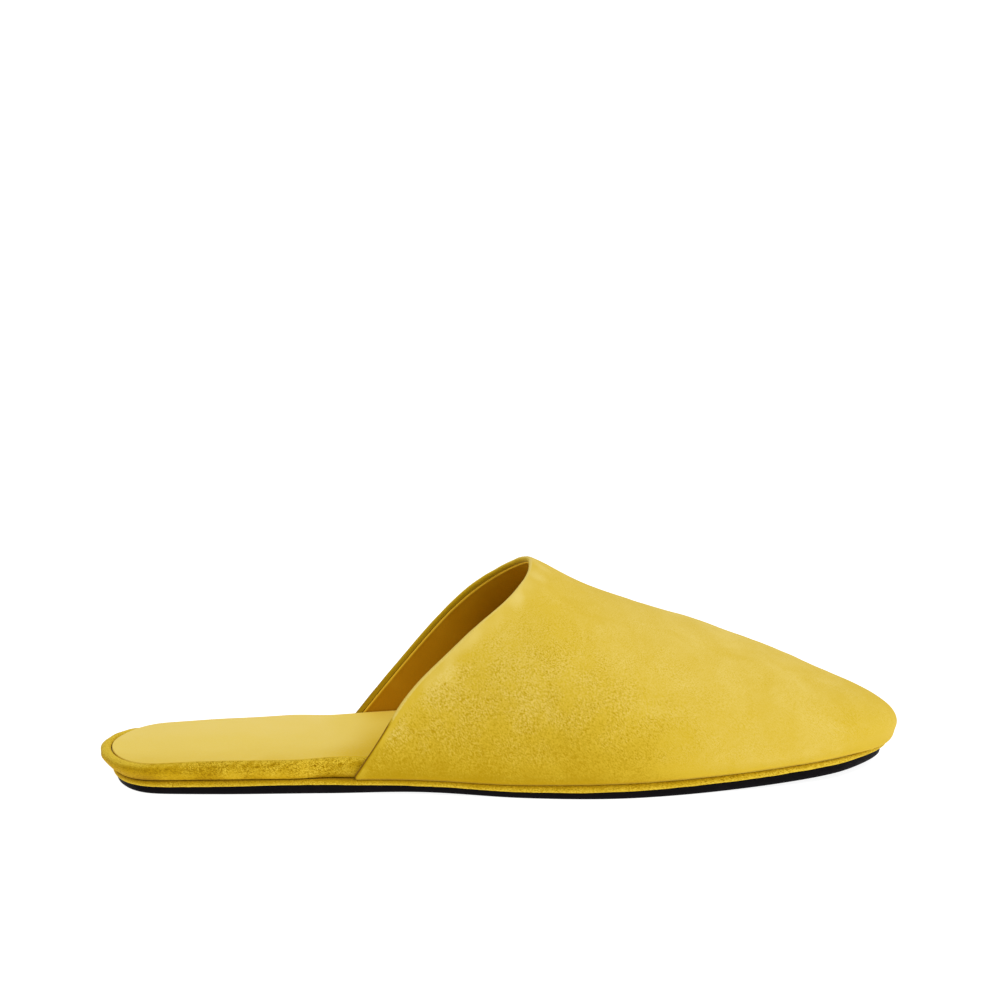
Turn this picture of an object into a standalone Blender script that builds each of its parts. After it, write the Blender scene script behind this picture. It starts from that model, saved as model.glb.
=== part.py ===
"""A right-foot suede mule: outsole, suede-covered rim, insole, heel wrap, leather sock and one-piece vamp.

+X points to the toe, -Y to the outer (lateral) side, +Z up. The origin is on the floor under the
middle of the shoe. Until the last step, x is measured from the heel end of the rim's edge.
"""

import functools
import math

import bmesh
import bpy
import numpy as np

MM = 0.001

# Sole
SOLE_LENGTH = 280 * MM
BALL_WIDTH = 88.5 * MM
TOE_TIP_SHIFT = 8.0 * MM
OUTSOLE_THICKNESS = 2.9 * MM
OUTSOLE_INSET = 1.2 * MM
OUTSOLE_EDGE_RADIUS = 0.8 * MM
HEEL_BACK_LENGTH = 31 * MM
RIM_THICKNESS = 2.2 * MM
RIM_ROUNDING = 1.0 * MM
ARCH_LIFT = 0.8 * MM
TOE_SPRING = 3.8 * MM
HEEL_FLAT_END = 76 * MM
FOREPART_FLAT_START = 146 * MM
FOREPART_FLAT_END = 184 * MM

# Footbed: insole, heel wrap and sock
HEEL_STACK = 7.6 * MM
HEEL_END_DROP = 1.8 * MM
HEEL_DROP_LENGTH = 46 * MM
FOREPART_STACK = 4.8 * MM
HEEL_STACK_END = 128 * MM
FOREPART_STACK_START = 200 * MM
SOCK_THICKNESS = 1.2 * MM
SOCK_DISH = 0.9 * MM
ARCH_RISE = 3.0 * MM
ARCH_RISE_CENTRE = 104 * MM
ARCH_RISE_REACH = 62 * MM
SHAPED_SHARE = 0.6
FLARE_SHARE = 0.8
FLARE_POWER = 1.3
WRAP_THICKNESS = 1.2 * MM
WRAP_SIDE_FLARE = 1.9 * MM
WRAP_BACK_FLARE = 4.5 * MM
WRAP_LIP = 3.8 * MM
WRAP_END = 99 * MM
LIP_TAPER_START = 80 * MM
INNER_LIP_TAPER_START = 10 * MM
INNER_LIP_TAPER_END = 42 * MM
SOCK_WIDENING = 5 * MM
SOCK_ROUNDING = 0.4 * MM
TUCK_START = 25 * MM
TUCK_END = 7 * MM

# Upper
WALL = 2.0 * MM
UPPER_INSET = 0.2 * MM
COLLAR_FOOT = 87.0 * MM
THROAT = 152.0 * MM
THROAT_HEIGHT = 78 * MM
SPINE_END = 258 * MM
SPINE_END_BLEND = 14 * MM

GAP = 0.3 * MM

# Grids. COLLAR_BREAK is where the upper's columns stop fanning out from the collar.
OUTLINE_STATIONS = 40
CLOSE_STATION = 0.2 * math.pi / OUTLINE_STATIONS
ACROSS = 6
ROWS = 18
OPEN_COLUMNS = 12
TOE_COLUMNS = 20
COLLAR_BREAK = 176 * MM
TIP = math.pi

# Edge of the rim in plan. along: share of SOLE_LENGTH; outer, inner: shares of BALL_WIDTH.
RIM_OUTLINE = [
    dict(along=0.012, outer=0.186, inner=0.160),
    dict(along=0.0375, outer=0.290, inner=0.259),
    dict(along=0.09, outer=0.327, inner=0.313),
    dict(along=0.15, outer=0.337, inner=0.331),
    dict(along=0.22, outer=0.338, inner=0.339),
    dict(along=0.309, outer=0.343, inner=0.338),
    dict(along=0.39, outer=0.369, inner=0.341),
    dict(along=0.48, outer=0.419, inner=0.380),
    dict(along=0.56, outer=0.460, inner=0.445),
    dict(along=0.636, outer=0.469, inner=0.505),
    dict(along=0.7, outer=0.441, inner=0.535),
    dict(along=0.8, outer=0.364, inner=0.514),
    dict(along=0.87, outer=0.292, inner=0.459),
    dict(along=0.93, outer=0.202, inner=0.377),
    dict(along=0.965, outer=0.112, inner=0.294),
]

# Thickness of the outsole's edge. along: share of SOLE_LENGTH; thickness: share of OUTSOLE_THICKNESS.
OUTSOLE_EDGE = [
    dict(along=0.00, thickness=0.80),
    dict(along=0.05, thickness=0.92),
    dict(along=0.12, thickness=1.00),
    dict(along=0.27, thickness=1.15),
    dict(along=0.37, thickness=0.88),
    dict(along=0.47, thickness=0.80),
    dict(along=0.57, thickness=0.84),
    dict(along=0.68, thickness=1.00),
    dict(along=0.78, thickness=1.14),
    dict(along=0.90, thickness=1.20),
    dict(along=1.00, thickness=1.10),
]

# Thickness of the rim's edge. along: share of SOLE_LENGTH; thickness: share of RIM_THICKNESS.
RIM_EDGE = [
    dict(along=0.00, thickness=0.72),
    dict(along=0.05, thickness=0.96),
    dict(along=0.12, thickness=1.08),
    dict(along=0.20, thickness=0.98),
    dict(along=0.27, thickness=0.84),
    dict(along=0.37, thickness=0.90),
    dict(along=0.47, thickness=0.98),
    dict(along=0.57, thickness=1.22),
    dict(along=0.68, thickness=1.20),
    dict(along=0.80, thickness=1.10),
    dict(along=0.90, thickness=1.02),
    dict(along=1.00, thickness=0.85),
]

# Arches of the upper. along: share of SOLE_LENGTH; ridge: height of the top line, share of
# THROAT_HEIGHT; shift: how far the top line lies to the inner side, share of BALL_WIDTH;
# outer_lean, inner_lean: degrees that each wall leans out from its foot; side, top: how far the
# wall stays upright and the roof stays level, shares of the arch's height and half width.
ARCHES = [
    dict(along=0.29, ridge=1.22, shift=0.040, outer_lean=5, inner_lean=11, side=0.72, top=0.80),
    dict(along=0.43, ridge=1.13, shift=0.054, outer_lean=4, inner_lean=12, side=0.72, top=0.80),
    dict(along=0.51, ridge=1.018, shift=0.064, outer_lean=5, inner_lean=14, side=0.72, top=0.76),
    dict(along=0.543, ridge=0.972, shift=0.067, outer_lean=7, inner_lean=15, side=0.71, top=0.73),
    dict(along=0.58, ridge=0.900, shift=0.071, outer_lean=10, inner_lean=17, side=0.69, top=0.70),
    dict(along=0.64, ridge=0.806, shift=0.078, outer_lean=14, inner_lean=18, side=0.66, top=0.64),
    dict(along=0.75, ridge=0.670, shift=0.090, outer_lean=20, inner_lean=20, side=0.64, top=0.60),
    dict(along=0.87, ridge=0.500, shift=0.098, outer_lean=28, inner_lean=26, side=0.68, top=0.60),
    dict(along=0.93, ridge=0.404, shift=0.099, outer_lean=39, inner_lean=37, side=0.66, top=0.60),
    dict(along=1.00, ridge=0.290, shift=0.097, outer_lean=50, inner_lean=50, side=0.64, top=0.62),
]

# Edge of the rim. up: share of its thickness; inset: share of RIM_ROUNDING.
RIM_PROFILE = [
    dict(up=0.00, inset=1.0),
    dict(up=0.22, inset=0.2),
    dict(up=0.50, inset=0.0),
    dict(up=0.80, inset=0.2),
    dict(up=1.00, inset=1.0),
]

# Outside of the heel wrap. up: share of the footbed's height; inset: share of the lip's width.
WRAP_OUTSIDE = [
    dict(up=0.00, inset=0.00),
    dict(up=0.35, inset=0.00),
    dict(up=0.68, inset=0.00),
    dict(up=0.88, inset=0.10),
    dict(up=1.00, inset=0.38),
    dict(up=1.02, inset=0.65),
]

# Lip of the heel wrap, beside the sock. depth: share of SOCK_THICKNESS; inset: share of the lip.
WRAP_LIP_EDGE = [
    dict(depth=0.10, inset=0.90),
    dict(depth=0.45, inset=1.00),
    dict(depth=1.00, inset=1.00),
]

# Inside of the heel wrap and edge of the insole, from the top down: shares of the height.
WRAP_INSIDE = (0.60, 0.35, 0.00)
INSOLE_EDGE = (0.00, 0.35, 0.56)

# Collar seen from the side. up: share of the way from rim to throat; outer, inner: how far forward
# it is on each side, share of the way from COLLAR_FOOT to THROAT.
COLLAR_LINE = [
    dict(up=0.00, outer=0.000, inner=-0.077),
    dict(up=0.23, outer=0.155, inner=0.130),
    dict(up=0.48, outer=0.340, inner=0.362),
    dict(up=0.65, outer=0.527, inner=0.532),
    dict(up=0.80, outer=0.715, inner=0.718),
    dict(up=0.92, outer=0.895, inner=0.895),
    dict(up=1.00, outer=1.010, inner=1.010),
]


def fair_curve(knots, values, period=None):
    """The smoothest cubic through the values: closed over a period, or with straight ends."""
    t = np.array(knots, float)
    y = np.array(values, float)
    if period:
        t = np.append(t, t[0] + period)
        y = np.append(y, y[0])
    last = len(t) - 1
    step = np.diff(t)
    rise = np.diff(y) / step
    system = np.zeros((last + 1, last + 1))
    target = np.zeros(last + 1)
    for i in range(1, last):
        system[i, i - 1] = step[i - 1]
        system[i, i] = 2 * (step[i - 1] + step[i])
        system[i, i + 1] = step[i]
        target[i] = 6 * (rise[i] - rise[i - 1])
    if period:
        system[0, 0], system[0, last] = 1, -1
        system[last, 0] = 2 * (step[-1] + step[0])
        system[last, 1] = step[0]
        system[last, last - 1] = step[-1]
        target[last] = 6 * (rise[0] - rise[-1])
    else:
        system[0, 0] = system[last, last] = 1
    bend = np.linalg.solve(system, target)

    def at(value):
        if period:
            value = t[0] + (value - t[0]) % period
        value = min(max(value, t[0]), t[-1])
        i = min(max(int(np.searchsorted(t, value)) - 1, 0), last - 1)
        a, b = (t[i + 1] - value) / step[i], (value - t[i]) / step[i]
        curved = ((a**3 - a) * bend[i] + (b**3 - b) * bend[i + 1]) * step[i] ** 2 / 6
        return a * y[i] + b * y[i + 1] + curved

    return at


def column(table, name, scale=1.0):
    return [row[name] * scale for row in table]


def table_curve(table, name, scale=1.0):
    return fair_curve(column(table, "along", SOLE_LENGTH), column(table, name, scale))


def smooth(share):
    share = min(max(share, 0.0), 1.0)
    return share * share * (3 - 2 * share)


# Going round the shoe: angle 0 is the back of the heel, pi the toe tip, outer side first.


def angle_at(along):
    return math.acos(1 - 2 * along)


def closed_outline():
    """y of the rim's edge as a smooth periodic curve of the angle."""
    outer = [(angle_at(row["along"]), -row["outer"] * BALL_WIDTH) for row in RIM_OUTLINE]
    inner = [(2 * math.pi - angle_at(row["along"]), row["inner"] * BALL_WIDTH) for row in RIM_OUTLINE]
    knots = [(0.0, 0.0)] + outer + [(TIP, TOE_TIP_SHIFT)] + inner[::-1]
    return fair_curve([k[0] for k in knots], [k[1] for k in knots], period=2 * math.pi)


outline_y = closed_outline()


def outline_x(angle):
    return SOLE_LENGTH * (1 - math.cos(angle)) / 2


def outline_normal(angle):
    """Unit plan vector pointing out of the shoe."""
    nudge = 1e-4
    dx = SOLE_LENGTH * math.sin(angle) / 2
    dy = (outline_y(angle + nudge) - outline_y(angle - nudge)) / (2 * nudge)
    return np.array([dy, -dx]) / math.hypot(dx, dy)


def outline_point(angle, offset=0.0):
    return np.array([outline_x(angle), outline_y(angle)]) + offset * outline_normal(angle)


def heel_backness(angle):
    """1 at the back of the heel, 0 from the sides of the heel forward."""
    return smooth(1 - outline_x(angle) / HEEL_BACK_LENGTH)


# Heights above the floor


def lift(x):
    """How far the outsole's underside is off the floor: arch, then toe spring."""
    arch = (x - HEEL_FLAT_END) / (FOREPART_FLAT_START - HEEL_FLAT_END)
    spring = (x - FOREPART_FLAT_END) / (SOLE_LENGTH - FOREPART_FLAT_END)
    if 0 < arch < 1:
        return ARCH_LIFT * math.sin(math.pi * arch) ** 2
    return TOE_SPRING * max(spring, 0.0) ** 2


outsole_edge = table_curve(OUTSOLE_EDGE, "thickness", OUTSOLE_THICKNESS)
rim_edge = table_curve(RIM_EDGE, "thickness", RIM_THICKNESS)


def outsole_top(x):
    return lift(x) + outsole_edge(x)


def rim_top(x):
    return outsole_top(x) + GAP + rim_edge(x)


def footbed_height(x):
    """Height of insole and sock, from the gap above the rim. The top runs smoothly over the rim."""
    taper = smooth((x - HEEL_STACK_END) / (FOREPART_STACK_START - HEEL_STACK_END))
    heel_end = HEEL_END_DROP * (1 - smooth(x / HEEL_DROP_LENGTH))
    stack = HEEL_STACK - heel_end + (FOREPART_STACK - HEEL_STACK) * taper
    top = lift(x) + OUTSOLE_THICKNESS + GAP + RIM_THICKNESS + stack
    return top - rim_top(x) - GAP


def footbed_shape(x, y):
    """Dish under the foot and rise of the inner arch, added to the footbed's edge height."""
    half = BALL_WIDTH / 2
    ends = smooth(x / half) * smooth((SOLE_LENGTH - x) / half)
    dish = -SOCK_DISH * ends * max(0.0, 1 - (y / half) ** 2)
    along = max(0.0, 1 - ((x - ARCH_RISE_CENTRE) / ARCH_RISE_REACH) ** 2) ** 2
    return dish + ARCH_RISE * along * smooth(y / half)


# Upper

ridge_height = table_curve(ARCHES, "ridge", THROAT_HEIGHT)
ridge_shift = table_curve(ARCHES, "shift", BALL_WIDTH)
lean_outer = table_curve(ARCHES, "outer_lean", math.radians(1))
lean_inner = table_curve(ARCHES, "inner_lean", math.radians(1))
side_handle = table_curve(ARCHES, "side")
top_handle = table_curve(ARCHES, "top")


def spine_x(x):
    """x of the arch's crown. Towards the toe the arches fan round the end of the spine."""
    early = SPINE_END - SPINE_END_BLEND
    if x <= early:
        return x
    if x >= SPINE_END + SPINE_END_BLEND:
        return SPINE_END
    return x - (x - early) ** 2 / (4 * SPINE_END_BLEND)


def ridge_slope(x):
    nudge = 0.5 * MM
    return (ridge_height(x + nudge) - ridge_height(x - nudge)) / (2 * nudge)


@functools.cache
def arch_handles(angle):
    """The four points of the curve from the rim up to the spine, at this place round the shoe."""
    x = outline_x(angle)
    foot_plan = outline_point(angle, -UPPER_INSET)
    foot = np.append(foot_plan, rim_top(foot_plan[0]) + GAP)
    crown_x = spine_x(x)
    crown = np.array([crown_x, ridge_shift(crown_x), ridge_height(crown_x)])
    across = crown[:2] - foot_plan
    reach = np.linalg.norm(across)
    heading = across / reach
    lean = lean_outer(x) if angle <= TIP else lean_inner(x)
    out = outline_normal(angle)
    up = np.array([out[0] * math.sin(lean), out[1] * math.sin(lean), math.cos(lean)])
    level = np.array([heading[0], heading[1], ridge_slope(crown_x) * heading[0]])
    return (
        foot,
        foot + up * side_handle(x) * (crown[2] - foot[2]),
        crown - level * top_handle(x) * reach,
        crown,
    )


def upper_point(angle, rise):
    """Point of the upper's outside. rise goes from 0 at the rim to 1 at the spine."""
    a, b, c, d = arch_handles(angle)
    left = 1 - rise
    return left**3 * a + 3 * left**2 * rise * b + 3 * left * rise**2 * c + rise**3 * d


def upper_normal(angle, rise):
    """Unit vector out of the upper. On the spine the surface is level from side to side."""
    if rise == 1:
        slope = ridge_slope(spine_x(outline_x(angle)))
        return np.array([-slope, 0, 1]) / math.hypot(slope, 1)
    turn, step = 2e-3, 2e-3
    round_shoe = upper_point(angle + turn, rise) - upper_point(angle - turn, rise)
    low, high = max(rise - step, 0), min(rise + step, 1)
    upward = upper_point(angle, high) - upper_point(angle, low)
    normal = np.cross(round_shoe, upward)
    return normal / np.linalg.norm(normal)


def upper_inside(angle, rise):
    point = upper_point(angle, rise)
    inside = point - WALL * upper_normal(angle, rise)
    if rise == 0:
        inside[2] = point[2]
    return inside


outer_forward = fair_curve(column(COLLAR_LINE, "up"), column(COLLAR_LINE, "outer"))
inner_forward = fair_curve(column(COLLAR_LINE, "up"), column(COLLAR_LINE, "inner"))


def collar_x(height, inner_side):
    """The collar seen from the side. Low down it starts further back on the inner side."""
    foot_height = rim_top(COLLAR_FOOT) + GAP
    up = (height - foot_height) / (THROAT_HEIGHT - foot_height)
    forward = inner_forward(up) if inner_side else outer_forward(up)
    return COLLAR_FOOT + (THROAT - COLLAR_FOOT) * forward


def halve(low, high, is_low):
    """The place between low and high where is_low stops being true."""
    for _ in range(26):
        middle = (low + high) / 2
        if is_low(middle):
            low = middle
        else:
            high = middle
    return (low + high) / 2


def collar_angle(rise, inner_side):
    """Where the line at this rise meets the collar, as an angle on the outer side."""

    def behind_collar(angle):
        point = upper_point(2 * math.pi - angle if inner_side else angle, rise)
        return point[0] < collar_x(point[2], inner_side)

    first = angle_at((COLLAR_FOOT - TUCK_START) / SOLE_LENGTH)
    return halve(first, angle_at(COLLAR_BREAK / SOLE_LENGTH), behind_collar)


def upper_angles(rise, inner_side):
    """Angles of the grid's columns at this rise, from the collar to the toe tip."""
    start = collar_angle(rise, inner_side)
    middle = angle_at(COLLAR_BREAK / SOLE_LENGTH)
    first = [start + (middle - start) * i / OPEN_COLUMNS for i in range(OPEN_COLUMNS)]
    rest = [middle + (TIP - middle) * i / TOE_COLUMNS for i in range(TOE_COLUMNS + 1)]
    angles = first + rest
    return [2 * math.pi - a for a in angles] if inner_side else angles


class Skin:
    """Collects the points and faces of one closed surface."""

    def __init__(self):
        self.points = []
        self.faces = []

    def add(self, point):
        self.points.append(tuple(point))
        return len(self.points) - 1

    def row(self, points):
        return [self.add(p) for p in points]

    def face(self, corners):
        kept = [c for i, c in enumerate(corners) if c != corners[i - 1]]
        if len(set(kept)) > 2:
            self.faces.append(kept)

    def bridge(self, first, second, closed=False):
        count = len(first)
        for i in range(count if closed else count - 1):
            j = (i + 1) % count
            self.face([first[i], first[j], second[j], second[i]])

    def make(self, name, colour, roughness):
        mesh = bpy.data.meshes.new(name)
        mesh.from_pydata(self.points, [], self.faces)
        surface = bmesh.new()
        surface.from_mesh(mesh)
        bmesh.ops.recalc_face_normals(surface, faces=surface.faces)
        if surface.calc_volume(signed=True) < 0:
            bmesh.ops.reverse_faces(surface, faces=surface.faces)
        surface.to_mesh(mesh)
        surface.free()
        mesh.shade_smooth()
        mesh.set_sharp_from_angle(angle=math.radians(40))
        made = bpy.data.objects.new(name, mesh)
        made.data.materials.append(finish(name, colour, roughness))
        bpy.context.scene.collection.objects.link(made)
        return made


def finish(name, colour, roughness):
    material = bpy.data.materials.new(name)
    material.use_nodes = True
    shader = material.node_tree.nodes["Principled BSDF"]
    shader.inputs["Base Color"].default_value = (*colour, 1.0)
    shader.inputs["Roughness"].default_value = roughness
    shader.inputs["Metallic"].default_value = 0.0
    return material


YELLOW_SUEDE = (0.68, 0.45, 0.045)
YELLOW_LEATHER = (0.74, 0.53, 0.14)
TAN_BOARD = (0.55, 0.42, 0.2)
BLACK_RUBBER = (0.012, 0.011, 0.014)


# Plates: rings of points round the shoe, closed by rungs from side to side


def ring_angles():
    """Angles all round the shoe, the same on both sides, with one at each step of the footbed."""
    steps = (COLLAR_FOOT - TUCK_END, WRAP_END + GAP, WRAP_END + GAP + SOCK_WIDENING)
    keys = [angle_at(x / SOLE_LENGTH) for x in steps]
    even = [math.pi * i / OUTLINE_STATIONS for i in range(1, OUTLINE_STATIONS)]
    kept = [a for a in even if min(abs(a - key) for key in keys) > CLOSE_STATION]
    side = sorted(kept + keys)
    return [0.0] + side + [TIP] + [2 * math.pi - a for a in side[::-1]]


def close_plate(skin, ring, across, height=None):
    """Closes a ring with rungs between its two sides. Each rung has `across` panels."""
    count = len(ring)
    rungs = [[ring[0]]]
    for i in range(1, count // 2):
        first, second = np.array(skin.points[ring[i]]), np.array(skin.points[ring[-i]])
        rung = [ring[i]]
        for k in range(1, across):
            point = first + (second - first) * k / across
            if height:
                point[2] = height(point[0], point[1])
            rung.append(skin.add(point))
        rungs.append(rung + [ring[-i]])
    rungs.append([ring[count // 2]])
    for low, high in zip(rungs, rungs[1:]):
        low = low * (across + 1) if len(low) == 1 else low
        high = high * (across + 1) if len(high) == 1 else high
        skin.bridge(low, high)


def plate(name, colour, roughness, levels, across=1, bottom=None, top=None):
    """levels lists, from the bottom up, functions that give the ring's point at an angle."""
    skin = Skin()
    rings = [skin.row([level(angle) for angle in ring_angles()]) for level in levels]
    for low, high in zip(rings, rings[1:]):
        skin.bridge(low, high, closed=True)
    close_plate(skin, rings[0], across, bottom)
    close_plate(skin, rings[-1], across, top)
    return skin.make(name, colour, roughness)


def level_at(offset, height):
    """A ring's point from an offset and a height, each a function of the angle or of x."""

    def point(angle):
        plan = outline_point(angle, offset(angle))
        return np.append(plan, height(plan[0]))

    return point


def make_outsole():
    radius = OUTSOLE_EDGE_RADIUS
    middle = radius * (1 - math.sqrt(0.5))
    return plate(
        "outsole",
        BLACK_RUBBER,
        0.5,
        [
            level_at(lambda a: -OUTSOLE_INSET - radius, lift),
            level_at(lambda a: -OUTSOLE_INSET - middle, lambda x: lift(x) + middle),
            level_at(lambda a: -OUTSOLE_INSET, lambda x: lift(x) + radius),
            level_at(lambda a: -OUTSOLE_INSET, outsole_top),
        ],
    )


def make_rim():
    def ring(up, inset):
        return level_at(
            lambda a: -inset * RIM_ROUNDING,
            lambda x: rim_top(x) - (1 - up) * rim_edge(x),
        )

    return plate("rim", YELLOW_SUEDE, 0.9, [ring(**row) for row in RIM_PROFILE])


# Footbed: at the heel its edge flares out freely, forward of the collar it follows the upper


def footbed_surface(x, y, share):
    """Height of the footbed at a share of its thickness. Its shape fades out towards the rim."""
    flat = rim_top(x) + GAP + footbed_height(x) * share
    return flat + footbed_shape(x, y) * min(share / SHAPED_SHARE, 1.0)


def wall_room(angle, share):
    """Offset from the rim's edge of the upper's inside, level with this share of the footbed."""
    plan = outline_point(angle)

    def too_low(rise):
        inside = upper_inside(angle, rise)
        return inside[2] < footbed_surface(inside[0], inside[1], share)

    inside = upper_inside(angle, halve(0.0, 1.0, too_low))
    return float(np.dot(inside[:2] - plan, outline_normal(angle)))


def under_upper(angle):
    """0 at the open heel, 1 where the footbed's edge has drawn in behind the upper's wall."""
    return smooth((outline_x(angle) - COLLAR_FOOT + TUCK_START) / (TUCK_START - TUCK_END))


def footbed_edge(angle, share):
    """Offset of the footbed's edge from the rim's, at a share of the stack's height."""
    covered = under_upper(angle)
    flare = WRAP_SIDE_FLARE + (WRAP_BACK_FLARE - WRAP_SIDE_FLARE) * heel_backness(angle)
    free = flare * math.sin(min(share / FLARE_SHARE, 1.0) * math.pi / 2) ** FLARE_POWER
    if covered == 0:
        return free
    room = wall_room(angle, share) - GAP
    return free + (room - free) * covered


def footbed_point(angle, share, inset):
    """Point on the footbed at a share of its height, set in from the edge."""
    plan = outline_point(angle, footbed_edge(angle, share) - inset)
    return np.append(plan, footbed_surface(plan[0], plan[1], share))


def below_top(angle, depth, inset=0.0):
    """Point near the footbed's edge, at this depth under its surface."""
    share = 1 - depth / footbed_height(outline_x(angle))
    return footbed_point(angle, share, inset)


def lip_width(angle):
    """Width of the wrap's rolled top edge. It narrows sooner on the inner side."""
    start, end = LIP_TAPER_START, WRAP_END
    if angle > TIP:
        start, end = INNER_LIP_TAPER_START, INNER_LIP_TAPER_END
    narrowed = smooth((outline_x(angle) - start) / (end - start))
    return WRAP_LIP + (WRAP_THICKNESS - WRAP_LIP) * narrowed


def sock_inset(angle):
    """The sock stops inside the wrap's lip at the heel, and at the wall under the upper."""
    beyond_wrap = (outline_x(angle) - WRAP_END - GAP) / SOCK_WIDENING
    return (lip_width(angle) + GAP) * (1 - smooth(beyond_wrap))


def make_sock():
    return plate(
        "sock",
        YELLOW_LEATHER,
        0.55,
        [
            lambda a: below_top(a, SOCK_THICKNESS, sock_inset(a)),
            lambda a: below_top(a, SOCK_ROUNDING, sock_inset(a)),
            lambda a: below_top(a, 0.0, sock_inset(a) + SOCK_ROUNDING),
        ],
        across=ACROSS,
        bottom=lambda x, y: footbed_surface(x, y, 1.0) - SOCK_THICKNESS,
        top=lambda x, y: footbed_surface(x, y, 1.0),
    )


def make_insole():
    clearance = WRAP_THICKNESS + GAP
    under_sock = SOCK_THICKNESS + GAP

    def edge(angle, share):
        return footbed_point(angle, share, clearance)

    def top_edge(angle):
        return below_top(angle, under_sock, WRAP_LIP)

    return plate(
        "insole",
        TAN_BOARD,
        0.9,
        [functools.partial(edge, share=share) for share in INSOLE_EDGE] + [top_edge],
        across=ACROSS,
        top=lambda x, y: footbed_surface(x, y, 1.0) - under_sock,
    )


def wrap_section(angle):
    """The strip's closed profile: up the outside, over the lip, and back down the inside."""
    lip = lip_width(angle)
    outside = [footbed_point(angle, row["up"], row["inset"] * lip) for row in WRAP_OUTSIDE]
    over = [
        below_top(angle, row["depth"] * SOCK_THICKNESS, row["inset"] * lip)
        for row in WRAP_LIP_EDGE
    ]
    inside = [footbed_point(angle, share, WRAP_THICKNESS) for share in WRAP_INSIDE]
    return outside + over + inside


def make_heel_wrap():
    """A strip from under the upper on one side, round the heel, to the other side."""
    end = angle_at(WRAP_END / SOLE_LENGTH)
    side = [a for a in ring_angles() if 0 < a < end - CLOSE_STATION] + [end]
    angles = side[::-1] + [0.0] + [2 * math.pi - a for a in side]
    skin = Skin()
    rings = [skin.row(wrap_section(angle)) for angle in angles]
    for first, second in zip(rings, rings[1:]):
        skin.bridge(first, second, closed=True)
    skin.face(rings[0])
    skin.face(rings[-1])
    return skin.make("heel_wrap", YELLOW_SUEDE, 0.9)


def shell_arches(skin, place):
    """Adds one surface of the upper. Returns its arches from collar to toe, and the tip's column."""
    rises = [i / ROWS for i in range(ROWS + 1)]
    outer = [[place(a, v) for a in upper_angles(v, False)] for v in rises]
    inner = [[place(a, v) for a in upper_angles(v, True)] for v in rises]
    tip = [skin.add(outer[i][-1]) for i in range(ROWS + 1)]
    arches = []
    for j in range(OPEN_COLUMNS + TOE_COLUMNS):
        x = outline_x(upper_angles(1.0, False)[j])
        crown = tip[ROWS] if spine_x(x) == SPINE_END else skin.add(outer[ROWS][j])
        left = [skin.add(outer[i][j]) for i in range(ROWS)]
        right = [skin.add(inner[i][j]) for i in range(ROWS)]
        arches.append(left + [crown] + right[::-1])
    for first, second in zip(arches, arches[1:]):
        skin.bridge(first, second)
    skin.bridge(arches[-1], tip + tip[-2::-1])
    return arches, tip


def make_upper():
    skin = Skin()
    outside, outside_tip = shell_arches(skin, upper_point)
    inside, inside_tip = shell_arches(skin, upper_inside)

    # The collar's edge is folded over: a half round from the outside to the inside.
    edge_rows = [outside[0]]
    outer_points = [np.array(skin.points[i]) for i in outside[0]]
    inner_points = [np.array(skin.points[i]) for i in inside[0]]
    for turn in (45, 90, 135):
        row = []
        for k, (a, b) in enumerate(zip(outer_points, inner_points)):
            before, after = max(k - 1, 0), min(k + 1, len(outer_points) - 1)
            along = outer_points[after] - outer_points[before]
            through = (a - b) / 2
            away = np.cross(along, through)
            away *= np.linalg.norm(through) / np.linalg.norm(away)
            if away[0] > 0:
                away = -away
            angle = math.radians(turn)
            point = (a + b) / 2 + through * math.cos(angle) + away * math.sin(angle)
            if k in (0, len(outer_points) - 1):
                point[2] = a[2]
            row.append(skin.add(point))
        edge_rows.append(row)
    edge_rows.append(inside[0])
    for first, second in zip(edge_rows, edge_rows[1:]):
        skin.bridge(first, second)
    for end in (0, -1):
        skin.face([row[end] for row in edge_rows])

    # The foot of the wall stands on the rim.
    def foot(arches, tip):
        return [arch[0] for arch in arches] + [tip[0]] + [arch[-1] for arch in arches[::-1]]

    skin.bridge(foot(outside, outside_tip), foot(inside, inside_tip))
    return skin.make("upper", YELLOW_SUEDE, 0.9)


def clear_scene():
    for old in list(bpy.data.objects):
        bpy.data.objects.remove(old)


def stand_on_origin(pieces):
    """Moves the shoe so that the origin is on the floor under the middle of its box."""
    points = np.array([v.co for piece in pieces for v in piece.data.vertices])
    low, high = points.min(axis=0), points.max(axis=0)
    centre = (low + high) / 2
    for piece in pieces:
        piece.location = (-centre[0], -centre[1], 0.0)


def main():
    clear_scene()
    pieces = [
        make_outsole(),
        make_rim(),
        make_insole(),
        make_heel_wrap(),
        make_sock(),
        make_upper(),
    ]
    stand_on_origin(pieces)


main()
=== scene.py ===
"""A yellow suede mule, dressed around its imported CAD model.

Each solid that shows is replaced by a finer surface of the same shape, made from the same sizes.
+X points to the toe, -Y to the outer side, +Z up. Until `place`, x is measured from the heel end
of the rim's edge, as in the CAD.
"""

import math

import bmesh
import bpy
import numpy as np
from mathutils import Matrix, Vector


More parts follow.
